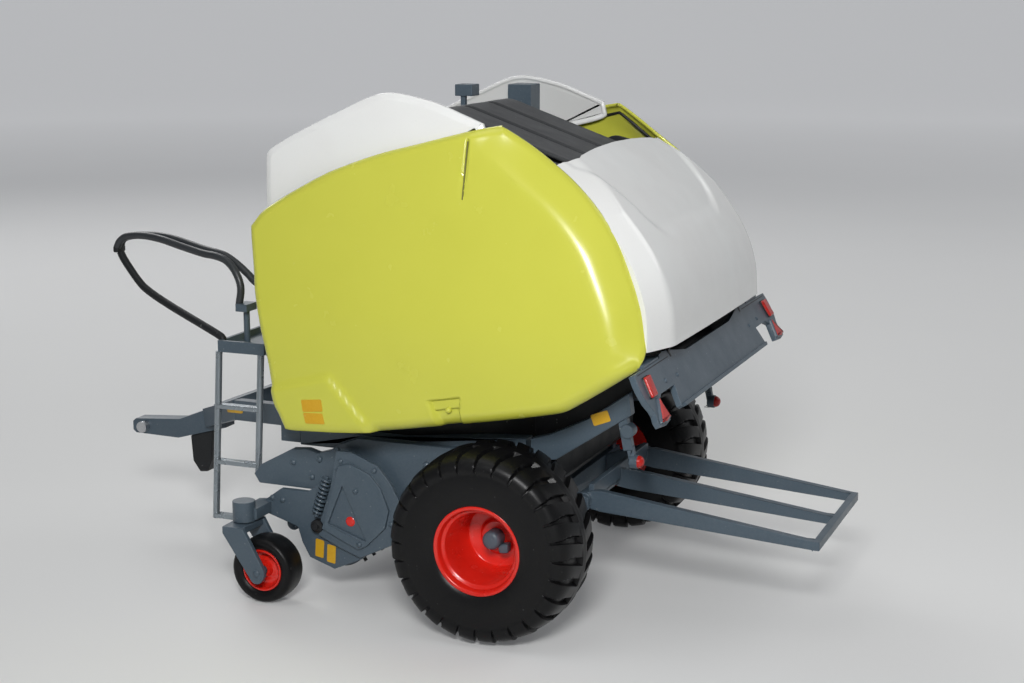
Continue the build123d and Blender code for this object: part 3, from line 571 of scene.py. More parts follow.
def addHoods(h):
    shell, panel, gapShade = hoodSheet(h)
    for side, flip in (("left", 1), ("right", -1)):
        body, name = "side_hood_" + side, "hoodSkin_" + side
        mesh = faceOutward(makeMesh(name, onSide(side, shell)), (0, flip, 0))
        skin = addPiece(name, mesh, "lime", body, "lime_plastic", ["hood_" + side], sharp=50)
        thicken(skin, h["wall"], use_even_offset=False)
        name = "hoodLiner_" + side
        mesh = faceOutward(makeMesh(name, onSide(side, panel)), (0, -flip, 0))
        liner = addPiece(name, mesh, "lime", body, "lime_plastic", sharp=40)
        thicken(liner, h["wall"], use_even_offset=False)
        # painted shade: a black tube along the gap round the liner
        addSheets("hoodGapShade_" + side, onSide(side, gapShade), "black", body, "dark_plastic")
        # a thin dark-lime tube along the groove: painted shade in the groove
        (x1, z1), (x2, z2) = h["groove"]
        places = [(x1 + k * (x2 - x1), z1 - 0.3 + k * (z2 + 0.6 - z1)) for k in (0.0, 0.5, 1.0)]
        bead = [(x, hoodOuterY(z, h) - 0.35 * h["padHeight"] - 0.13, z) for x, z in places]
        addSheets("hoodGroove_" + side, onSide(side, tubeSheet(bead, 0.15, 8)), "seam", body, "lime_plastic")
        knob = domeSheet((7.2, h["lowY"] - h["latchDepth"], 40.0), (0, 1, 0), 0.6, 0.55)
        addSheets("hoodKnob_" + side, onSide(side, knob), "lime", body, "lime_plastic")


addHoods(hoodShape)

# hood hinges, low and slim under the hood's top edge

hingeShape = {
    "x": (9.5, 12.4), "pin": (31.2, 83.8), "pinRadius": 0.45,
    "arm": [(26.0, 79.2), (26.0, 80.6), (29.6, 83.4), (31.2, 84.6), (31.9, 83.9), (31.2, 82.8), (29.8, 82.2)],
}


def addHinges(h):
    line = roundedOutline([(y, z, 0.35) for y, z in h["arm"]], 64)
    low, high = h["x"]
    for side in ("left", "right"):
        pin = tubeSheet([(x, *h["pin"]) for x in (low, 10.8, high - 0.4)], h["pinRadius"])
        sheets = onSide(side, plateSheet(line, edgeRings(high - 1.4, high, 0.15), axis=0), pin)
        addSheets("hoodHinge_" + side, sheets, "black", bodyOf["hood_brackets"], "dark_plastic",
                  ["hood_brackets"])


addHinges(hingeShape)
print("hoods made")

# front fins

finShape = {
    "top": [(45.05, 70.0), (45.1, 75.3), (45.0, 80.6), (44.6, 82.2), (43.0, 83.5), (36.9, 86.7), (29.6, 90.1),
            (24.6, 92.3), (21.4, 93.1),
            (18.0, 92.9), (12.1, 91.6), (7.0, 89.7), (3.4, 88.3)],
    "low": [(3.0, 87.0), (3.6, 84.9), (13.0, 82.3), (24.0, 78.8), (33.0, 74.2), (41.0, 68.9), (44.4, 67.6)],
    "inner": 30.7, "outer": 31.9, "band": 1.3, "drop": 0.45, "flange": 0.8, "flangeDepth": 0.35,
}


def addFins(f):
    line = np.concatenate([smoothLine(f["top"], 150), smoothLine(f["low"], 90)])
    # profile round the edge, as (drawn in, place across): inner face, turned-in rim, rounded edge, bevelled
    # band and outer face
    inner, outer, band, drop = f["inner"], f["outer"], f["band"], f["drop"]
    rim = inner - f["flangeDepth"]
    rings = [(f["flange"] + 0.25, inner), (f["flange"], inner - 0.15), (f["flange"] - 0.05, rim + 0.12),
             (f["flange"] - 0.2, rim), (0.2, rim), (0.04, rim + 0.14), (0.0, rim + 0.4),
             (0.0, outer - drop - 0.35), (0.07, outer - drop - 0.1), (0.25, outer - drop),
             (band - 0.15, outer - 0.04), (band + 0.1, outer)]
    for side in ("left", "right"):
        panel = "front_panel_" + side
        sheets = onSide(side, plateSheet(line, rings))
        addSheets("fin_" + side, sheets, "white", bodyOf[panel], "white_plastic", [panel], sharp=42)


addFins(finShape)

# tailgate cover

shellShape = {
    "crown": [(-9.4, 83.4), (-15.0, 79.4), (-20.2, 74.4), (-25.0, 68.3), (-27.7, 63.4), (-29.3, 58.0),
              (-29.7, 52.1)],
    "side": [(-7.3, 81.3), (-12.6, 77.2), (-17.5, 72.4), (-21.7, 66.9), (-24.2, 62.4), (-25.9, 57.6),
             (-26.5, 52.1)],
    "halfLow": 36.8, "halfHigh": 31.6, "bendZ": 53.0, "topZ": 83.4,
    "crease": (21.0, 26.5), "creaseRun": 9.0,    # |Y| of the crease at the lip and lower, and the fall between
    "lip": ((0, 10, 15, 19.5, 21.2, 24, 29, 33), (0, 0.26, 0.6, 1.0, 1.45, 1.15, 0.8, 0.6)), "lipRun": 6.0,
    "wall": 1.2, "cut": 0.945,
    "tuck": 1.5,                                    # how far each side edge turns forward, under the hood
    "window": ((26.8, -11.0), (19.4, -25.2)), "windowDepth": 0.48, "windowWall": 2.5,
    "windowCorner": 5.0,
}


def shellSheet(s):
    y = -np.cos(np.linspace(0, math.pi, 190))
    v = np.unique(np.round(np.concatenate([np.linspace(0, 1, 130), np.linspace(0.0, 0.04, 8)]), 5))
    crown, side = smoothLine(s["crown"], v), smoothLine(s["side"], v)
    z = crown[:, 1]
    half = np.interp(z, [s["bendZ"], s["topZ"]], [s["halfLow"], s["halfHigh"]])
    across = s["cut"] * y[None, :] * half[:, None]
    reach = np.abs(across)
    crease = np.interp(s["topZ"] - z, [0.0, s["creaseRun"]], s["crease"])[:, None]
    # share of the way from the crown line to the side line: none inside the crease, all at the edge, with a
    # soft bend
    share = np.clip((reach - crease) / (half[:, None] - crease), 0, 1)
    share = np.where(share < 0.25, 2 * share**2, share - 0.125) / 0.875
    crowned = 0.25 * (1 - np.clip(reach / crease, 0, 1) ** 2)
    grid = crown[:, None, :] * (1 - share[..., None]) + side[:, None, :] * share[..., None]
    along = np.gradient(crown, axis=0)
    along /= np.linalg.norm(along, axis=1, keepdims=True)
    out = np.stack([along[:, 1], -along[:, 0]], 1)
    out *= np.sign(out[:, :1] * -1.0)
    # the lip bows back towards its sides
    bow = np.interp(reach, *s["lip"]) * np.exp(-((s["topZ"] - z[:, None]) / s["lipRun"]))
    grid = grid + bow[..., None] * along[:, None, :]
    # a sunk field with a sloped wall, narrower towards its foot, open at the lip
    (wideTop, xTop), (wideLow, xLow) = s["window"]
    x = grid[..., 0]
    width = np.interp(-x, [-xTop, -xLow], [wideTop, wideLow])
    fromSide, fromFoot, curve = width - reach, (x - xLow) * 1.1, s["windowCorner"]
    corner = curve - np.hypot(np.clip(curve - fromSide, 0, None), np.clip(curve - fromFoot, 0, None))
    inside = np.where((fromSide < curve) & (fromFoot < curve), corner, np.minimum(fromSide, fromFoot))
    sunk = soften(inside / s["windowWall"])
    place = grid + (crowned - s["windowDepth"] * sunk)[..., None] * out[:, None, :]
    sheet = np.stack([place[..., 0], across, place[..., 1]], -1)
    turned = sheet[:, [0, -1]] * [1.0, 0.985, 1.0] + [s["tuck"], 0.0, 0.0]
    return np.concatenate([turned[:, :1], sheet, turned[:, 1:]], axis=1), False, False, ""


def addShell(s):
    mesh = faceOutward(makeMesh("tailgateCover", [shellSheet(s)]), (-1, 0, 0.6))
    shell = addPiece("tailgateCover", mesh, "white", "tailgate", "white_plastic", ["tailgate_shell"],
                     sharp=50)
    thicken(shell, s["wall"])
    roundCorners(shell, 0.3, 60)


addShell(shellShape)

# baler belts

beltShape = {
    "line": [(-9.2, 79.8), (18.9, 89.7), (40.6, 72.0), (38.0, 43.0)],
    "bend": 3.0, "count": 3, "pitch": 11.4, "half": 4.7, "thick": 0.8,
}


def beltSheet(b, centre):
    # rounded strip section carried along the side view; the section is (across, out of the line)
    h, t = b["half"], b["thick"] / 2
    turn = np.linspace(-math.pi / 2, math.pi / 2, 5)
    right = np.stack([h - 0.25 + 0.25 * np.cos(turn), (t - 0.02) * np.sin(turn)], 1)
    middle = np.linspace(h - 0.6, -(h - 0.6), 7)
    top = np.stack([middle, t - 0.1 * (middle / h) ** 2 + 0.02], 1)
    section = np.concatenate([right, top, -right, -top])
    corner = np.array(b["line"], float)
    parts = [corner[:1]]
    for before, here, after in zip(corner[:-2], corner[1:-1], corner[2:]):
        start = here + (before - here) / np.linalg.norm(before - here) * b["bend"]
        end = here + (after - here) / np.linalg.norm(after - here) * b["bend"]
        q = np.linspace(0, 1, 9)[:, None]
        parts.append((1 - q) ** 2 * start + 2 * q * (1 - q) * here + q**2 * end)
    parts.append(corner[-1:])
    line = spread(np.concatenate(parts), np.linspace(0, 1, 120))
    along = np.gradient(line, axis=0)
    along /= np.linalg.norm(along, axis=1, keepdims=True)
    out = np.stack([-along[:, 1], along[:, 0]], 1)
    place = line[:, None, :] + section[None, :, 1:2] * out[:, None, :]
    across = np.broadcast_to(centre + section[None, :, 0], place.shape[:2])
    return np.stack([place[..., 0], across, place[..., 1]], -1), False, True, "u"


def addBelts(b):
    first = -(b["count"] - 1) / 2
    sheets = [beltSheet(b, (first + number) * b["pitch"]) for number in range(b["count"])]
    addSheets("bale_belts", sheets, "belt", bodyOf["belts"], "belt", ["belts"], sharp=40)


addBelts(beltShape)
print("fins, cover and belts made")

# main tyres

tyreShape = {
    "centreZ": 17.2, "lugs": 28, "beadRadius": 7.45, "halfWidth": 7.75,
    # steps round one lug, as shares of its turn
    "lugSteps": [0.0, 0.045, 0.12, 0.25, 0.4, 0.54, 0.65, 0.71, 0.78, 0.845, 0.9, 0.95],
    # |y| and radius of the carcass from bead to centre, then of the lug tops above it
    "carcass": [(6.35, 7.55), (6.9, 7.75), (7.35, 8.5), (7.7, 10.0), (7.75, 11.6), (7.62, 13.2), (7.3, 14.3),
                (6.8, 15.1), (6.0, 15.6), (4.6, 15.95), (2.4, 16.15), (0.0, 16.2)],
    "tops": [(7.75, 13.6), (7.7, 14.6), (7.42, 15.4), (6.9, 16.0), (6.0, 16.5), (4.6, 16.85), (2.4, 17.1),
             (0.0, 17.2)],
    "lugFrom": 13.6, "sweep": 0.62, "rib": 1.1, "ribHeight": 0.92, "lugFall": 0.22, "lugWall": 0.045,
    # |y| and the share of a lug's turn that its gap takes there
    "gap": ([1.2, 3.0, 5.0, 6.2, 7.0, 7.6], [0.34, 0.34, 0.28, 0.17, 0.11, 0.09]),
}


def tyreSheet(s):
    # Carcass and lug-top profiles are matched point to point across the tread; a wave round the tyre that
    # leans with |y| picks one or the other. Each side has its own lugs, half a pitch apart.
    carcass = np.array(s["carcass"], float)
    count = 84
    side = smoothLine(carcass, np.linspace(0, 1, count) ** 0.9)
    top = smoothLine(np.array(s["tops"], float), 200)
    # outward direction of the carcass line at each step, and how far the lug tops lie along it
    along = np.gradient(side, axis=0)
    along /= np.linalg.norm(along, axis=1, keepdims=True)
    out = np.stack([along[:, 1], -along[:, 0]], 1)
    start = np.interp(side[:, 1], [s["lugFrom"] - 0.25, s["lugFrom"] + 0.5], [0.0, 1.0])
    toTop = top[None] - side[:, None]
    gap = np.abs(np.cross(along[:, None, :], toTop)) + 10 * np.abs(np.sum(along[:, None] * toTop, 2))
    height = np.linalg.norm(top[gap.argmin(1)] - side, axis=1) * soften(start)
    full = np.concatenate([side, side[-2::-1] * np.array([-1.0, 1.0])])
    outFull = np.concatenate([out, out[-2::-1] * np.array([-1.0, 1.0])])
    highFull = np.concatenate([height, height[-2::-1]])
    isRight = np.arange(len(full)) >= count
    reach = np.abs(full[:, 0])
    # steps round the tyre bunch up at the lug walls
    phase = (np.arange(s["lugs"])[:, None] + np.array(s["lugSteps"])[None]).reshape(-1)[:, None]
    lean = s["sweep"] * (1 - reach / s["halfWidth"])            # lugs sweep back towards the centre
    shift = lean + 0.5 * isRight
    phase = np.broadcast_to(phase, (len(phase), len(full)))
    share = np.mod(phase, 1.0)
    groove, edge = np.interp(reach, *s["gap"])[None, :], s["lugWall"]
    raised = np.clip(np.minimum(share / edge, (1 - groove - share) / edge + 1), 0, 1)
    slope = 1 - s["lugFall"] * np.clip(share / (1 - groove), 0, 1)
    ribbed = soften((s["rib"] - reach) / 0.5 + 0.5)[None, :]
    lug = raised * slope * (1 - ribbed) + s["ribHeight"] * ribbed
    radial = full[None, :, :] + (highFull[None, :] * lug)[..., None] * outFull[None, :, :]
    angle = 2 * math.pi * (phase + shift[None, :]) / s["lugs"]
    r = radial[..., 1]
    return np.stack([r * np.cos(angle), radial[..., 0], r * np.sin(angle)], -1), True, False, ""


def addTyres(s):
    for side, flip in (("left", 1), ("right", -1)):
        grid = tyreSheet(s)[0]
        # the bead turns under and back across the rim, which closes the section
        first, last = grid[:, :1], grid[:, -1:]
        shrink = s["beadRadius"] / np.hypot(first[..., 0], first[..., 2])[..., None]
        scaleIn = np.stack([shrink[..., 0], np.ones_like(shrink[..., 0]) * 0.98, shrink[..., 0]], -1)
        grid = np.concatenate([first * scaleIn, grid, last * scaleIn], 1)
        grid = grid + np.array([0.0, flip * wheelY, s["centreZ"]])
        addSheets("tyre_" + side + "_skin", [(grid, True, True, "")], "rubber", "wheel_" + side, "tyre",
                  ["tyre_" + side], sharp=32)


addTyres(tyreShape)

# main rims

rimShape = {
    "centreZ": 17.2,
    # radius and place across, from the tyre's bead on the outside, over the flange, down the dish to the hub,
    # and back round behind
    "profile": [(7.5, 6.3), (7.6, 6.62), (7.85, 6.72), (7.98, 6.9), (7.9, 7.1), (7.6, 7.16), (7.3, 7.05),
                (7.15, 6.8), (7.05, 6.3), (6.95, 5.9), (6.6, 5.72), (6.42, 5.6), (6.3, 5.2), (5.95, 1.0),
                (5.7, -2.2), (5.5, -2.75), (5.1, -2.95), (3.4, -3.1), (3.1, -2.9), (2.95, -2.3), (2.7, -2.1),
                (1.5, -2.1), (1.4, -2.4)],
    "behind": [(1.4, -6.5), (2.7, -6.6), (2.9, -6.4), (2.9, -4.8), (5.9, -4.8), (6.3, -5.2), (6.6, -6.6),
               (7.5, -6.6)],
}


def addRims(s):
    for side, flip in (("left", 1), ("right", -1)):
        profile = np.concatenate([np.array(s["profile"], float), np.array(s["behind"], float)])
        grid = turnedSheet(profile, (0, 0, 0), 96)[0]
        grid = grid * np.array([1.0, flip, 1.0]) + np.array([0.0, flip * wheelY, s["centreZ"]])
        rim = addSheets("rim_" + side + "_dish", [(grid, True, True, "")], "red", "wheel_" + side, "rim_red",
                        ["rim_" + side], sharp=40)
        roundCorners(rim, 0.12, 30)


addRims(rimShape)

# castor wheels

castorLow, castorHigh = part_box("castor_rim_left")
castorShape = {
    "x": ((castorLow.x + castorHigh.x) / 2 - axleX) * 1000,
    "y": (castorLow.y + castorHigh.y) / 2 * 1000, "z": 6.2,
    "tyre": [(3.85, 2.0), (4.0, 2.3), (4.3, 2.5), (4.8, 2.72), (5.3, 2.74), (5.75, 2.55), (6.03, 2.1),
             (6.15, 1.5), (6.2, 0.7), (6.2, 0.0)],
    "rim": [(3.85, 0.0), (3.85, 2.0), (3.95, 2.16), (3.85, 2.3), (3.6, 2.32), (3.42, 2.15), (3.34, 1.7),
            (3.2, 1.2), (3.0, 0.75), (2.7, 0.6), (2.1, 0.75), (1.6, 0.95), (1.45, 1.3), (1.35, 1.75),
            (0.9, 1.8), (0.85, 1.6)],
}


def addCastors(s):
    for side, flip in (("left", 1), ("right", -1)):
        centre = np.array([s["x"], flip * s["y"], s["z"]])
        half = np.array(s["tyre"], float)
        ring = smoothLine(half, 18)
        profile = np.concatenate([ring, ring[-2::-1] * np.array([1.0, -1.0])])
        body = "castor_wheel_" + side
        addSheets("castorTread_" + side, [turnedSheet(profile, centre, 72)], "rubber", body, "tyre",
                  ["castor_tyre_" + side], sharp=45)
        half = np.array(s["rim"], float)[1:]
        profile = np.concatenate([half, half[::-1] * np.array([1.0, -1.0])])
        addSheets("castorDish_" + side, [turnedSheet(profile, centre, 64)], "red", body, "rim_red",
                  ["castor_rim_" + side], sharp=45)


addCastors(castorShape)
print("wheels made")

# bolts, spring, knob, plain patches and other small fittings

boltRows = [
    # name, body, finish, slot, radius, height, places on the left side (facing outwards)
    ("sideBolts", "side_beams", "grey", "grey_paint", 0.62, 0.45,
     [(43.6, 26.8, 24.4), (38.1, 26.8, 25.5), (39.7, 26.8, 22.0), (34.3, 26.8, 27.6), (33.4, 26.8, 23.9),
      (14.4, 31.4, 28.0)]),
    ("armBolts", "pickup_frame", "grey", "grey_paint", 0.55, 0.4,
     [(45.0, 28.6, 17.5), (47.2, 28.6, 17.7), (36.2, 28.6, 18.4)]),
    ("coverBolts", "drive_covers", "grey", "grey_paint", 0.55, 0.4,
     [(25.6, 29.5, 25.3), (29.2, 30.1, 21.2), (28.6, 30.1, 11.2), (22.3, 29.5, 15.6), (32.4, 29.5, 26.4),
      (32.9, 29.5, 24.6)]),
    ("castorBolt_left", "castor_fork_left", "grey", "grey_paint", 0.7, 0.35, [(45.3, 37.5, 6.2)]),
]


def surfaceY(node, x, z, fallback):
    # outermost place on the left side of a CAD node at one (x, z), so that a fitting sits on the surface
    mesh = frame["nodes"][node].data
    faces = [tuple(face.vertices) for face in mesh.polygons]
    tree = BVHTree.FromPolygons([point.co for point in mesh.vertices], faces)
    where = tree.ray_cast(Vector(toFrame((x, 60.0, z))), Vector((0, -1, 0)), 0.06)[0]
    return where.y * 1000 if where and where.y * 1000 > fallback - 2.5 else fallback


def addBolts(rows):
    for name, node, finish, slot, radius, height, places in rows:
        sheets = []
        for x, y, z in places:
            top = surfaceY(node, x, z, y)
            sheets.append(domeSheet((x, top - 0.02, z), (0, 1, 0), radius, height, steps=16))
        if not name.startswith("castor"):
            sheets = bothSides(sheets)
        addSheets(name, sheets, finish, bodyOf[node], slot)
        if name.startswith("castor"):
            addSheets("castorBolt_right", onSide("right", *sheets), finish, "castor_right", slot)


addBolts(boltRows)

springShape = {"from": (35.6, 28.9, 22.6), "to": (37.5, 29.5, 15.9), "radius": 0.85, "wire": 0.24, "turns": 9}


def addSpring(s):
    # a helix of the given radius about the straight line between two points, with a wire carried along it
    start, end = np.array(s["from"]), np.array(s["to"])
    axis = (end - start) / np.linalg.norm(end - start)
    side = np.cross(axis, [0.0, 1.0, 0.0])
    side /= np.linalg.norm(side)
    up = np.cross(side, axis)
    t = np.linspace(0, 1, s["turns"] * 14 + 1)[:, None]
    a = 2 * math.pi * s["turns"] * t
    line = start + t * (end - start) + s["radius"] * (np.cos(a) * side + np.sin(a) * up)
    core = [start - axis * 0.5, (start + end) / 2, end + axis * 0.5]
    sheets = [tubeSheet(line, s["wire"], 8), tubeSheet(core, 0.35, 10)]
    addSheets("liftSprings", bothSides(sheets), "grey", "pickup", "grey_paint")


addSpring(springShape)

knobShape = {"centre": (37.4, 28.6, 13.6), "radius": 1.25, "height": 1.1, "dot": (30.6, 15.2)}


def addKnobs(k):
    x, y, z = k["centre"]
    top = surfaceY("drive_covers", x - 1.0, z, 29.5)
    r, h = k["radius"], k["height"]
    profile = [(r, y - 0.1), (r, top + 0.25), (r * 0.94, top + 0.4), (r * 0.6, top + 0.5),
               (r * 0.5, top + 0.65), (r * 0.5, top + h - 0.12), (r * 0.42, top + h), (0.02, top + h)]
    sheet = (turnedSheet(profile, (x, 0, z), 24, closed=False)[0], True, False, "v")
    addSheets("driveKnobs", bothSides([sheet]), "black", "pickup", "dark_plastic")
    x, z = k["dot"]
    red = domeSheet((x, surfaceY("drive_covers", x, z, 29.5) - 0.02, z), (0, 1, 0), 0.95, 0.22, steps=20)
    addSheets("coverDots", bothSides([red]), "red", "pickup", "rim_red")


addKnobs(knobShape)


def patchSheet(corners, thick, count=48, curve=0.25):
    # a thin plate between four (x, y, z) corners, its own corners rounded, standing proud by thick
    c = np.array(corners, float)
    across, up = c[1] - c[0], c[3] - c[0]
    wide, high = np.linalg.norm(across), np.linalg.norm(up)
    normal = np.cross(across, up)
    normal /= np.linalg.norm(normal)
    outline = roundedOutline([(0, 0, curve), (wide, 0, curve), (wide, high, curve), (0, high, curve)], count)
    rings = []
    for depth, height in ((0.0, -0.15), (0.0, thick - 0.03), (0.03, thick), (0.3, thick)):
        flat = drawnIn(outline, depth)
        rings.append(c[0] + flat[:, :1] / wide * across + flat[:, 1:2] / high * up + height * normal)
    return np.stack(rings), False, True, "u"


def addPatches():
    # plain coloured places with nothing on them
    face = surfaceY("pickup_frame", 37.0, 9.5, 28.6)
    plates = [patchSheet([(x + 0.75, face, z - 1.7), (x - 1.0, face, z - 2.0), (x - 1.2, face, z + 1.4),
                          (x + 0.55, face, z + 1.7)], 0.08) for x, z in ((37.7, 9.2), (35.3, 8.4))]
    addSheets("plainPatches_pickup", bothSides(plates), "amber", "pickup")
    low = hoodOuterY(36.0, hoodShape) + hoodShape["padHeight"] * 0.65
    square = [patchSheet([(x, low, z) for x, z in corners], 0.08) for corners in (
        [(34.0, 35.55), (30.2, 35.75), (30.5, 37.85), (34.45, 37.45)],
        [(34.5, 37.6), (30.55, 38.0), (31.0, 40.2), (34.8, 39.75)])]
    for side in ("left", "right"):
        addSheets("plainPatches_" + side, onSide(side, *square), "amber", "side_hood_" + side)


addPatches()

# axle ends: a rounded pin and the clip beside it, on the chassis

axleShape = {"radius": 1.65, "back": -2.0, "front": 0.9, "z": 17.2, "clip": (-2.8, -1.2)}


def addAxleEnds(a):
    r, back, front = a["radius"], wheelY + a["back"], wheelY + a["front"]
    turn = np.linspace(0, math.pi / 2, 6)
    corner = [(r - 0.7 + 0.7 * math.cos(t), front - 0.7 + 0.7 * math.sin(t)) for t in turn]
    profile = [(0.3, back), (r, back)] + corner + [(0.02, front + 0.05)]
    pin = turnedSheet(profile, (0, 0, a["z"]), 32, closed=False)
    low, high = a["clip"]
    outline = roundedOutline([(low, a["z"] - 2.2, 0.4), (high, a["z"] - 2.4, 0.4),
                              (high + 0.3, a["z"] - 0.9, 0.3), (low, a["z"] - 0.5, 0.4)], 40)
    clip = plateSheet(outline, edgeRings(back, back + 1.7, 0.2))
    sheets = [(pin[0], True, False, "v"), clip]
    addSheets("axleEnds", bothSides(sheets), "grey", bodyOf["axle_beam"], "grey_paint")


addAxleEnds(axleShape)

# lamps and small details of the light bar, drawn in its own plane

barShape = {
    "top": (-27.2, 49.9), "lean": 29.0,
    "lamp": [(36.9, 1.3), (39.5, 1.3), (40.2, 4.8), (37.6, 4.8)],
    "reflector": [(37.15, 5.3), (37.85, 5.3), (41.1, 9.0), (38.9, 9.5), (36.2, 9.1)],
    "slot": [(24.0, 0.42), (40.9, 0.42), (40.9, 0.6), (24.0, 0.6)],
    "rivets": [(30.2, 3.7), (23.9, 4.0)],
    "roundLamp": (-22.6, 24.4, 30.6),
}


def onBar(points, out):
    # (across, down) on the leaning plate, and a height out of its face
    p, lean = np.asarray(points, float), math.radians(barShape["lean"])
    x = barShape["top"][0] - p[:, 1] * math.sin(lean) - out * math.cos(lean)
    z = barShape["top"][1] - p[:, 1] * math.cos(lean) + out * math.sin(lean)
    return np.stack([x, p[:, 0], z], -1)


def barPlate(corners, rings, cut=0.3, count=64):
    # rings: rows of (drawn in, out of the plate's face)
    outline = roundedOutline([(across, down, cut) for across, down in corners], count)
    return np.stack([onBar(drawnIn(outline, depth), out) for depth, out in rings]), False, True, "u"


def addRearLamps(b):
    face = (-math.cos(math.radians(b["lean"])), 0, math.sin(math.radians(b["lean"])))
    lens = [(0.0, 0.12), (0.0, 0.6), (0.1, 0.72), (0.3, 0.74)]
    triangle = [(0.22, 0.1), (0.22, 0.44), (0.3, 0.52), (0.55, 0.55)]
    surround = [(-0.12, -0.1), (-0.12, 0.22), (-0.05, 0.3), (0.2, 0.3)]
    border = [(-0.1, -0.1), (-0.1, 0.12), (0.2, 0.46), (0.3, 0.46)]
    red = [barPlate(b["lamp"], lens), barPlate(b["reflector"], triangle, 0.15),
           domeSheet(b["roundLamp"], (-1, 0, 0), 1.1, 1.05, 24, 8)]
    strip = [(0.0, -0.1), (0.0, 0.02), (0.05, 0.02)]
    dark = [barPlate(b["lamp"], surround), barPlate(b["slot"], strip, 0.05)]
    grey = [barPlate(b["reflector"], border, 0.2)]
    grey += [domeSheet(onBar([place], 0.0)[0], face, 0.42, 0.3, 14) for place in b["rivets"]]
    for name, finish, slot, sheets, replaces in (
            ("rearLenses", "lens", "lamp_red", red, ["rear_lamps"]),
            ("lampFrames", "black", "dark_plastic", dark, []),
            ("reflectorFrames", "grey", "grey_paint", grey, [])):
        addSheets(name, bothSides(sheets), finish, "tailgate", slot, replaces, sharp=45)


addRearLamps(barShape)

beamPatch = [(-14.8, 36.4), (-17.9, 37.6), (-17.3, 39.1), (-14.1, 38.3)]


def addBeamPatch(corners):
    face = surfaceY("tailgate_beams", -16.0, 37.9, 25.4)
    plate = [patchSheet([(x, face, z) for x, z in corners], 0.08)]
    addSheets("plainPatches_beam", bothSides(plate), "amber", "tailgate")


addBeamPatch(beamPatch)

drawbarPatch = {"ends": (68.1, 63.5), "low": (27.7, 28.3), "high": (29.2, 30.0)}


def addDrawbarPatch(p):
    (x1, x2), (low1, low2), (high1, high2) = p["ends"], p["low"], p["high"]
    y1, y2 = (surfaceY("drawbar", x, 28.6, 9.0) for x in (x1, x2))
    plate = patchSheet([(x1, y1, low1), (x2, y2, low2), (x2, y2, high2), (x1, y1, high1)], 0.3)
    addSheets("plainPatches_drawbar", bothSides([plate]), "amber", bodyOf["drawbar"])


addDrawbarPatch(drawbarPatch)

# hoses and their holder

hoseShape = {
    "near": [(88.2, 15.1, 60.6), (87.4, 15.1, 61.9), (85.6, 15.2, 62.9), (81.5, 15.8, 63.3),
             (77.0, 16.5, 62.9), (72.0, 17.3, 61.9), (66.9, 18.2, 61.0), (63.2, 19.0, 60.7),
             (60.6, 19.6, 59.9), (58.5, 20.2, 58.0), (57.4, 20.5, 55.3), (57.8, 20.6, 51.9)],
    "far": [(88.3, 13.7, 60.6), (87.8, 13.7, 61.8), (86.4, 13.7, 62.6), (82.5, 14.2, 63.2),
            (76.2, 15.0, 63.1), (67.8, 16.6, 61.6), (62.8, 17.6, 60.9), (59.8, 18.1, 59.6),
            (56.8, 18.6, 57.6), (55.2, 18.8, 56.3), (51.6, 19.1, 54.6)],
    "radius": 0.72,
    "holder": [(61.2, 21.2, 44.0), (61.2, 21.2, 45.2), (62.0, 21.0, 45.9), (66.3, 20.1, 47.5),
               (75.0, 17.8, 50.4), (80.2, 16.7, 52.6), (82.8, 16.1, 54.3), (86.6, 14.9, 57.9),
               (87.9, 14.4, 59.5)],
    "holderRadius": 0.75, "clip": (88.2, 14.4, 60.2),
}


def addHoses(h):
    sheets = [tubeSheet(smoothLine(h[side], 120), h["radius"], 16) for side in ("near", "far")]
    addSheets("feedHoses", sheets, "hose", bodyOf["hoses"], "hose", ["hoses"])
    x, y, z = h["clip"]
    outline = roundedOutline([(x - 0.6, z - 0.6, 0.25), (x + 0.6, z - 0.6, 0.25),
                              (x + 0.6, z + 0.6, 0.25), (x - 0.6, z + 0.6, 0.25)], 40)
    clip = plateSheet(outline, edgeRings(y - 1.3, y + 1.3, 0.2))
    rod = tubeSheet(smoothLine(h["holder"], 90), h["holderRadius"], 14)
    addSheets("hoseRod", [rod, clip], "black", bodyOf["hose_holder"], "dark_plastic", ["hose_holder"])


addHoses(hoseShape)
print("small fittings made")
# floor, backdrop, lamps

# lift: glow seen by the camera near the object and far off, in m
studio = {"floor": (0.68, 0.68, 0.67), "lift": (0.1, 0.38), "liftReach": (0.15, 1.2)}


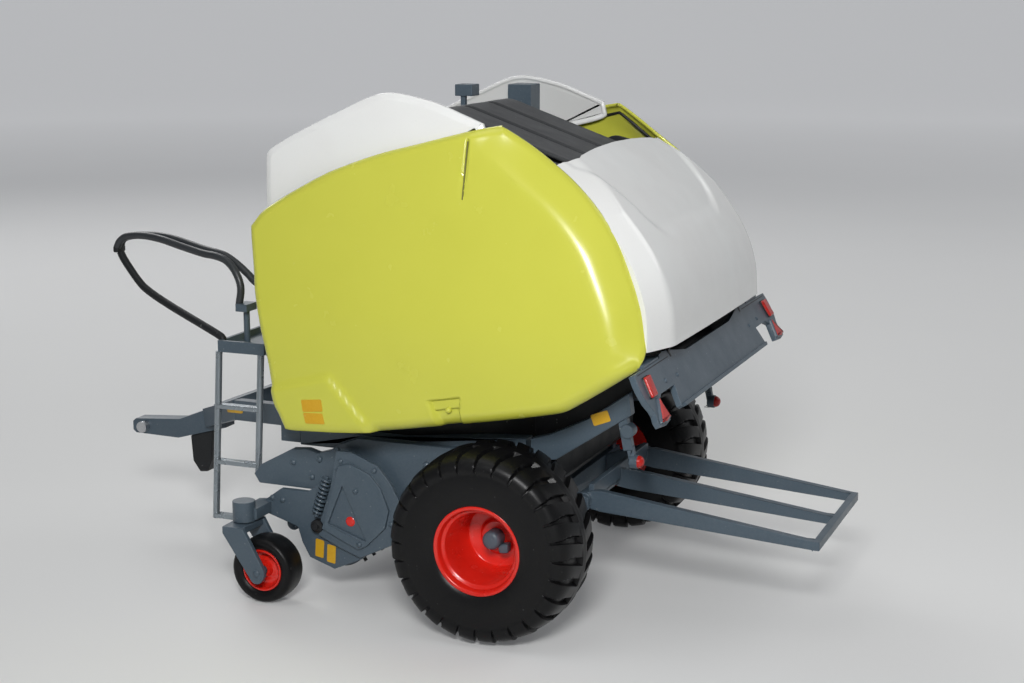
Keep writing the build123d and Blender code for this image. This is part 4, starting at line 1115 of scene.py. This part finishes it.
def addStage(s):
    floorMaterial, tree, shader, coords = nodeTree("floorPaper")
    cloud = remap(tree, noiseAt(tree, coords, 6.0, 2.0), 0.3, 0.7, 0.0, 1.0)
    tree.links.new(mixColour(tree, cloud, s["floor"], tuple(0.97 * value for value in s["floor"])),
                   shader.inputs["Base Color"])
    rays = tree.nodes.new("ShaderNodeLightPath")
    reach = tree.nodes.new("ShaderNodeVectorMath")
    reach.operation = "LENGTH"
    tree.links.new(coords, reach.inputs[0])
    glow = remap(tree, reach.outputs["Value"], *s["liftReach"], *s["lift"])
    seen = rays.outputs["Is Camera Ray"]
    for mode, other in (("MAXIMUM", rays.outputs["Is Glossy Ray"]),
                        ("MAXIMUM", rays.outputs["Is Transmission Ray"]), ("MULTIPLY", glow)):
        step = tree.nodes.new("ShaderNodeMath")
        step.operation = mode
        tree.links.new(seen, step.inputs[0])
        tree.links.new(other, step.inputs[1])
        seen = step.outputs[0]
    shader.inputs["Emission Color"].default_value = (0.96, 0.97, 1.0, 1.0)
    tree.links.new(seen, shader.inputs["Emission Strength"])
    shader.inputs["Roughness"].default_value = 0.85
    shader.inputs["Specular IOR Level"].default_value = 0.2
    # a sheet that runs flat on the floor, then up behind in a quarter circle: one curve carried sideways
    along = np.concatenate([np.linspace(-2.5, 1.4, 10), 1.4 + 0.6 * np.sin(np.linspace(0.1, math.pi / 2, 16)),
                            np.full(4, 2.0)])
    height = np.concatenate([np.zeros(10), 0.6 - 0.6 * np.cos(np.linspace(0.1, math.pi / 2, 16)),
                             np.linspace(0.9, 2.5, 4)])
    side = np.linspace(-3.0, 3.0, 3)
    angle = math.radians(camera["yaw"])
    across, away = np.meshgrid(side, along, indexing="ij")
    up = np.broadcast_to(height, across.shape)
    grid = np.stack([across * math.cos(angle) + away * math.sin(angle),
                     across * math.sin(angle) - away * math.cos(angle), up], -1)
    mesh = bpy.data.meshes.new("floor")
    faces = quadIndex(3, len(along), False, False)
    mesh.from_pydata(grid.reshape(-1, 3).tolist(), [], faces[:, ::-1].tolist())
    mesh.materials.append(floorMaterial)
    mesh.shade_smooth()
    floor = bpy.data.objects.new("floor", mesh)
    bpy.context.scene.collection.objects.link(floor)


addStage(studio)

lamps = [
    # name, place, aimed at, size in m, watts, spread in degrees
    ("keyLamp", (-0.12, 0.31, 0.205), (-0.055, 0.035, 0.085), (0.08, 0.06), 0.29, 100),
    ("topLamp", (0.10, 0.20, 0.90), (0.0, 0.0, 0.05), (0.5, 0.5), 1.0, 180),
    ("backLamp", (-0.55, -0.5, 0.55), (0.0, 0.0, 0.05), (0.5, 0.4), 1.2, 180),
    ("frontLamp", (0.5, -0.45, 0.5), (0.0, 0.0, 0.05), (0.4, 0.4), 0.75, 100),
]


def addLamps(rows):
    for name, place, aim, size, watts, spread in rows:
        data = bpy.data.lights.new(name, "AREA")
        data.shape, data.energy, data.spread = "RECTANGLE", watts, math.radians(spread)
        data.size, data.size_y = size
        lamp = bpy.data.objects.new(name, data)
        lamp.location = place
        lamp.rotation_euler = (Vector(aim) - Vector(place)).to_track_quat("-Z", "Y").to_euler()
        bpy.context.scene.collection.objects.link(lamp)


addLamps(lamps)
world = bpy.data.worlds.new("room")
bpy.context.scene.world = world
world.use_nodes = True
world.node_tree.nodes["Background"].inputs["Color"].default_value = (0.9, 0.94, 1.0, 1.0)
world.node_tree.nodes["Background"].inputs["Strength"].default_value = 0.16
bpy.context.scene.view_settings.view_transform = "Standard"
print("stage and lamps set")
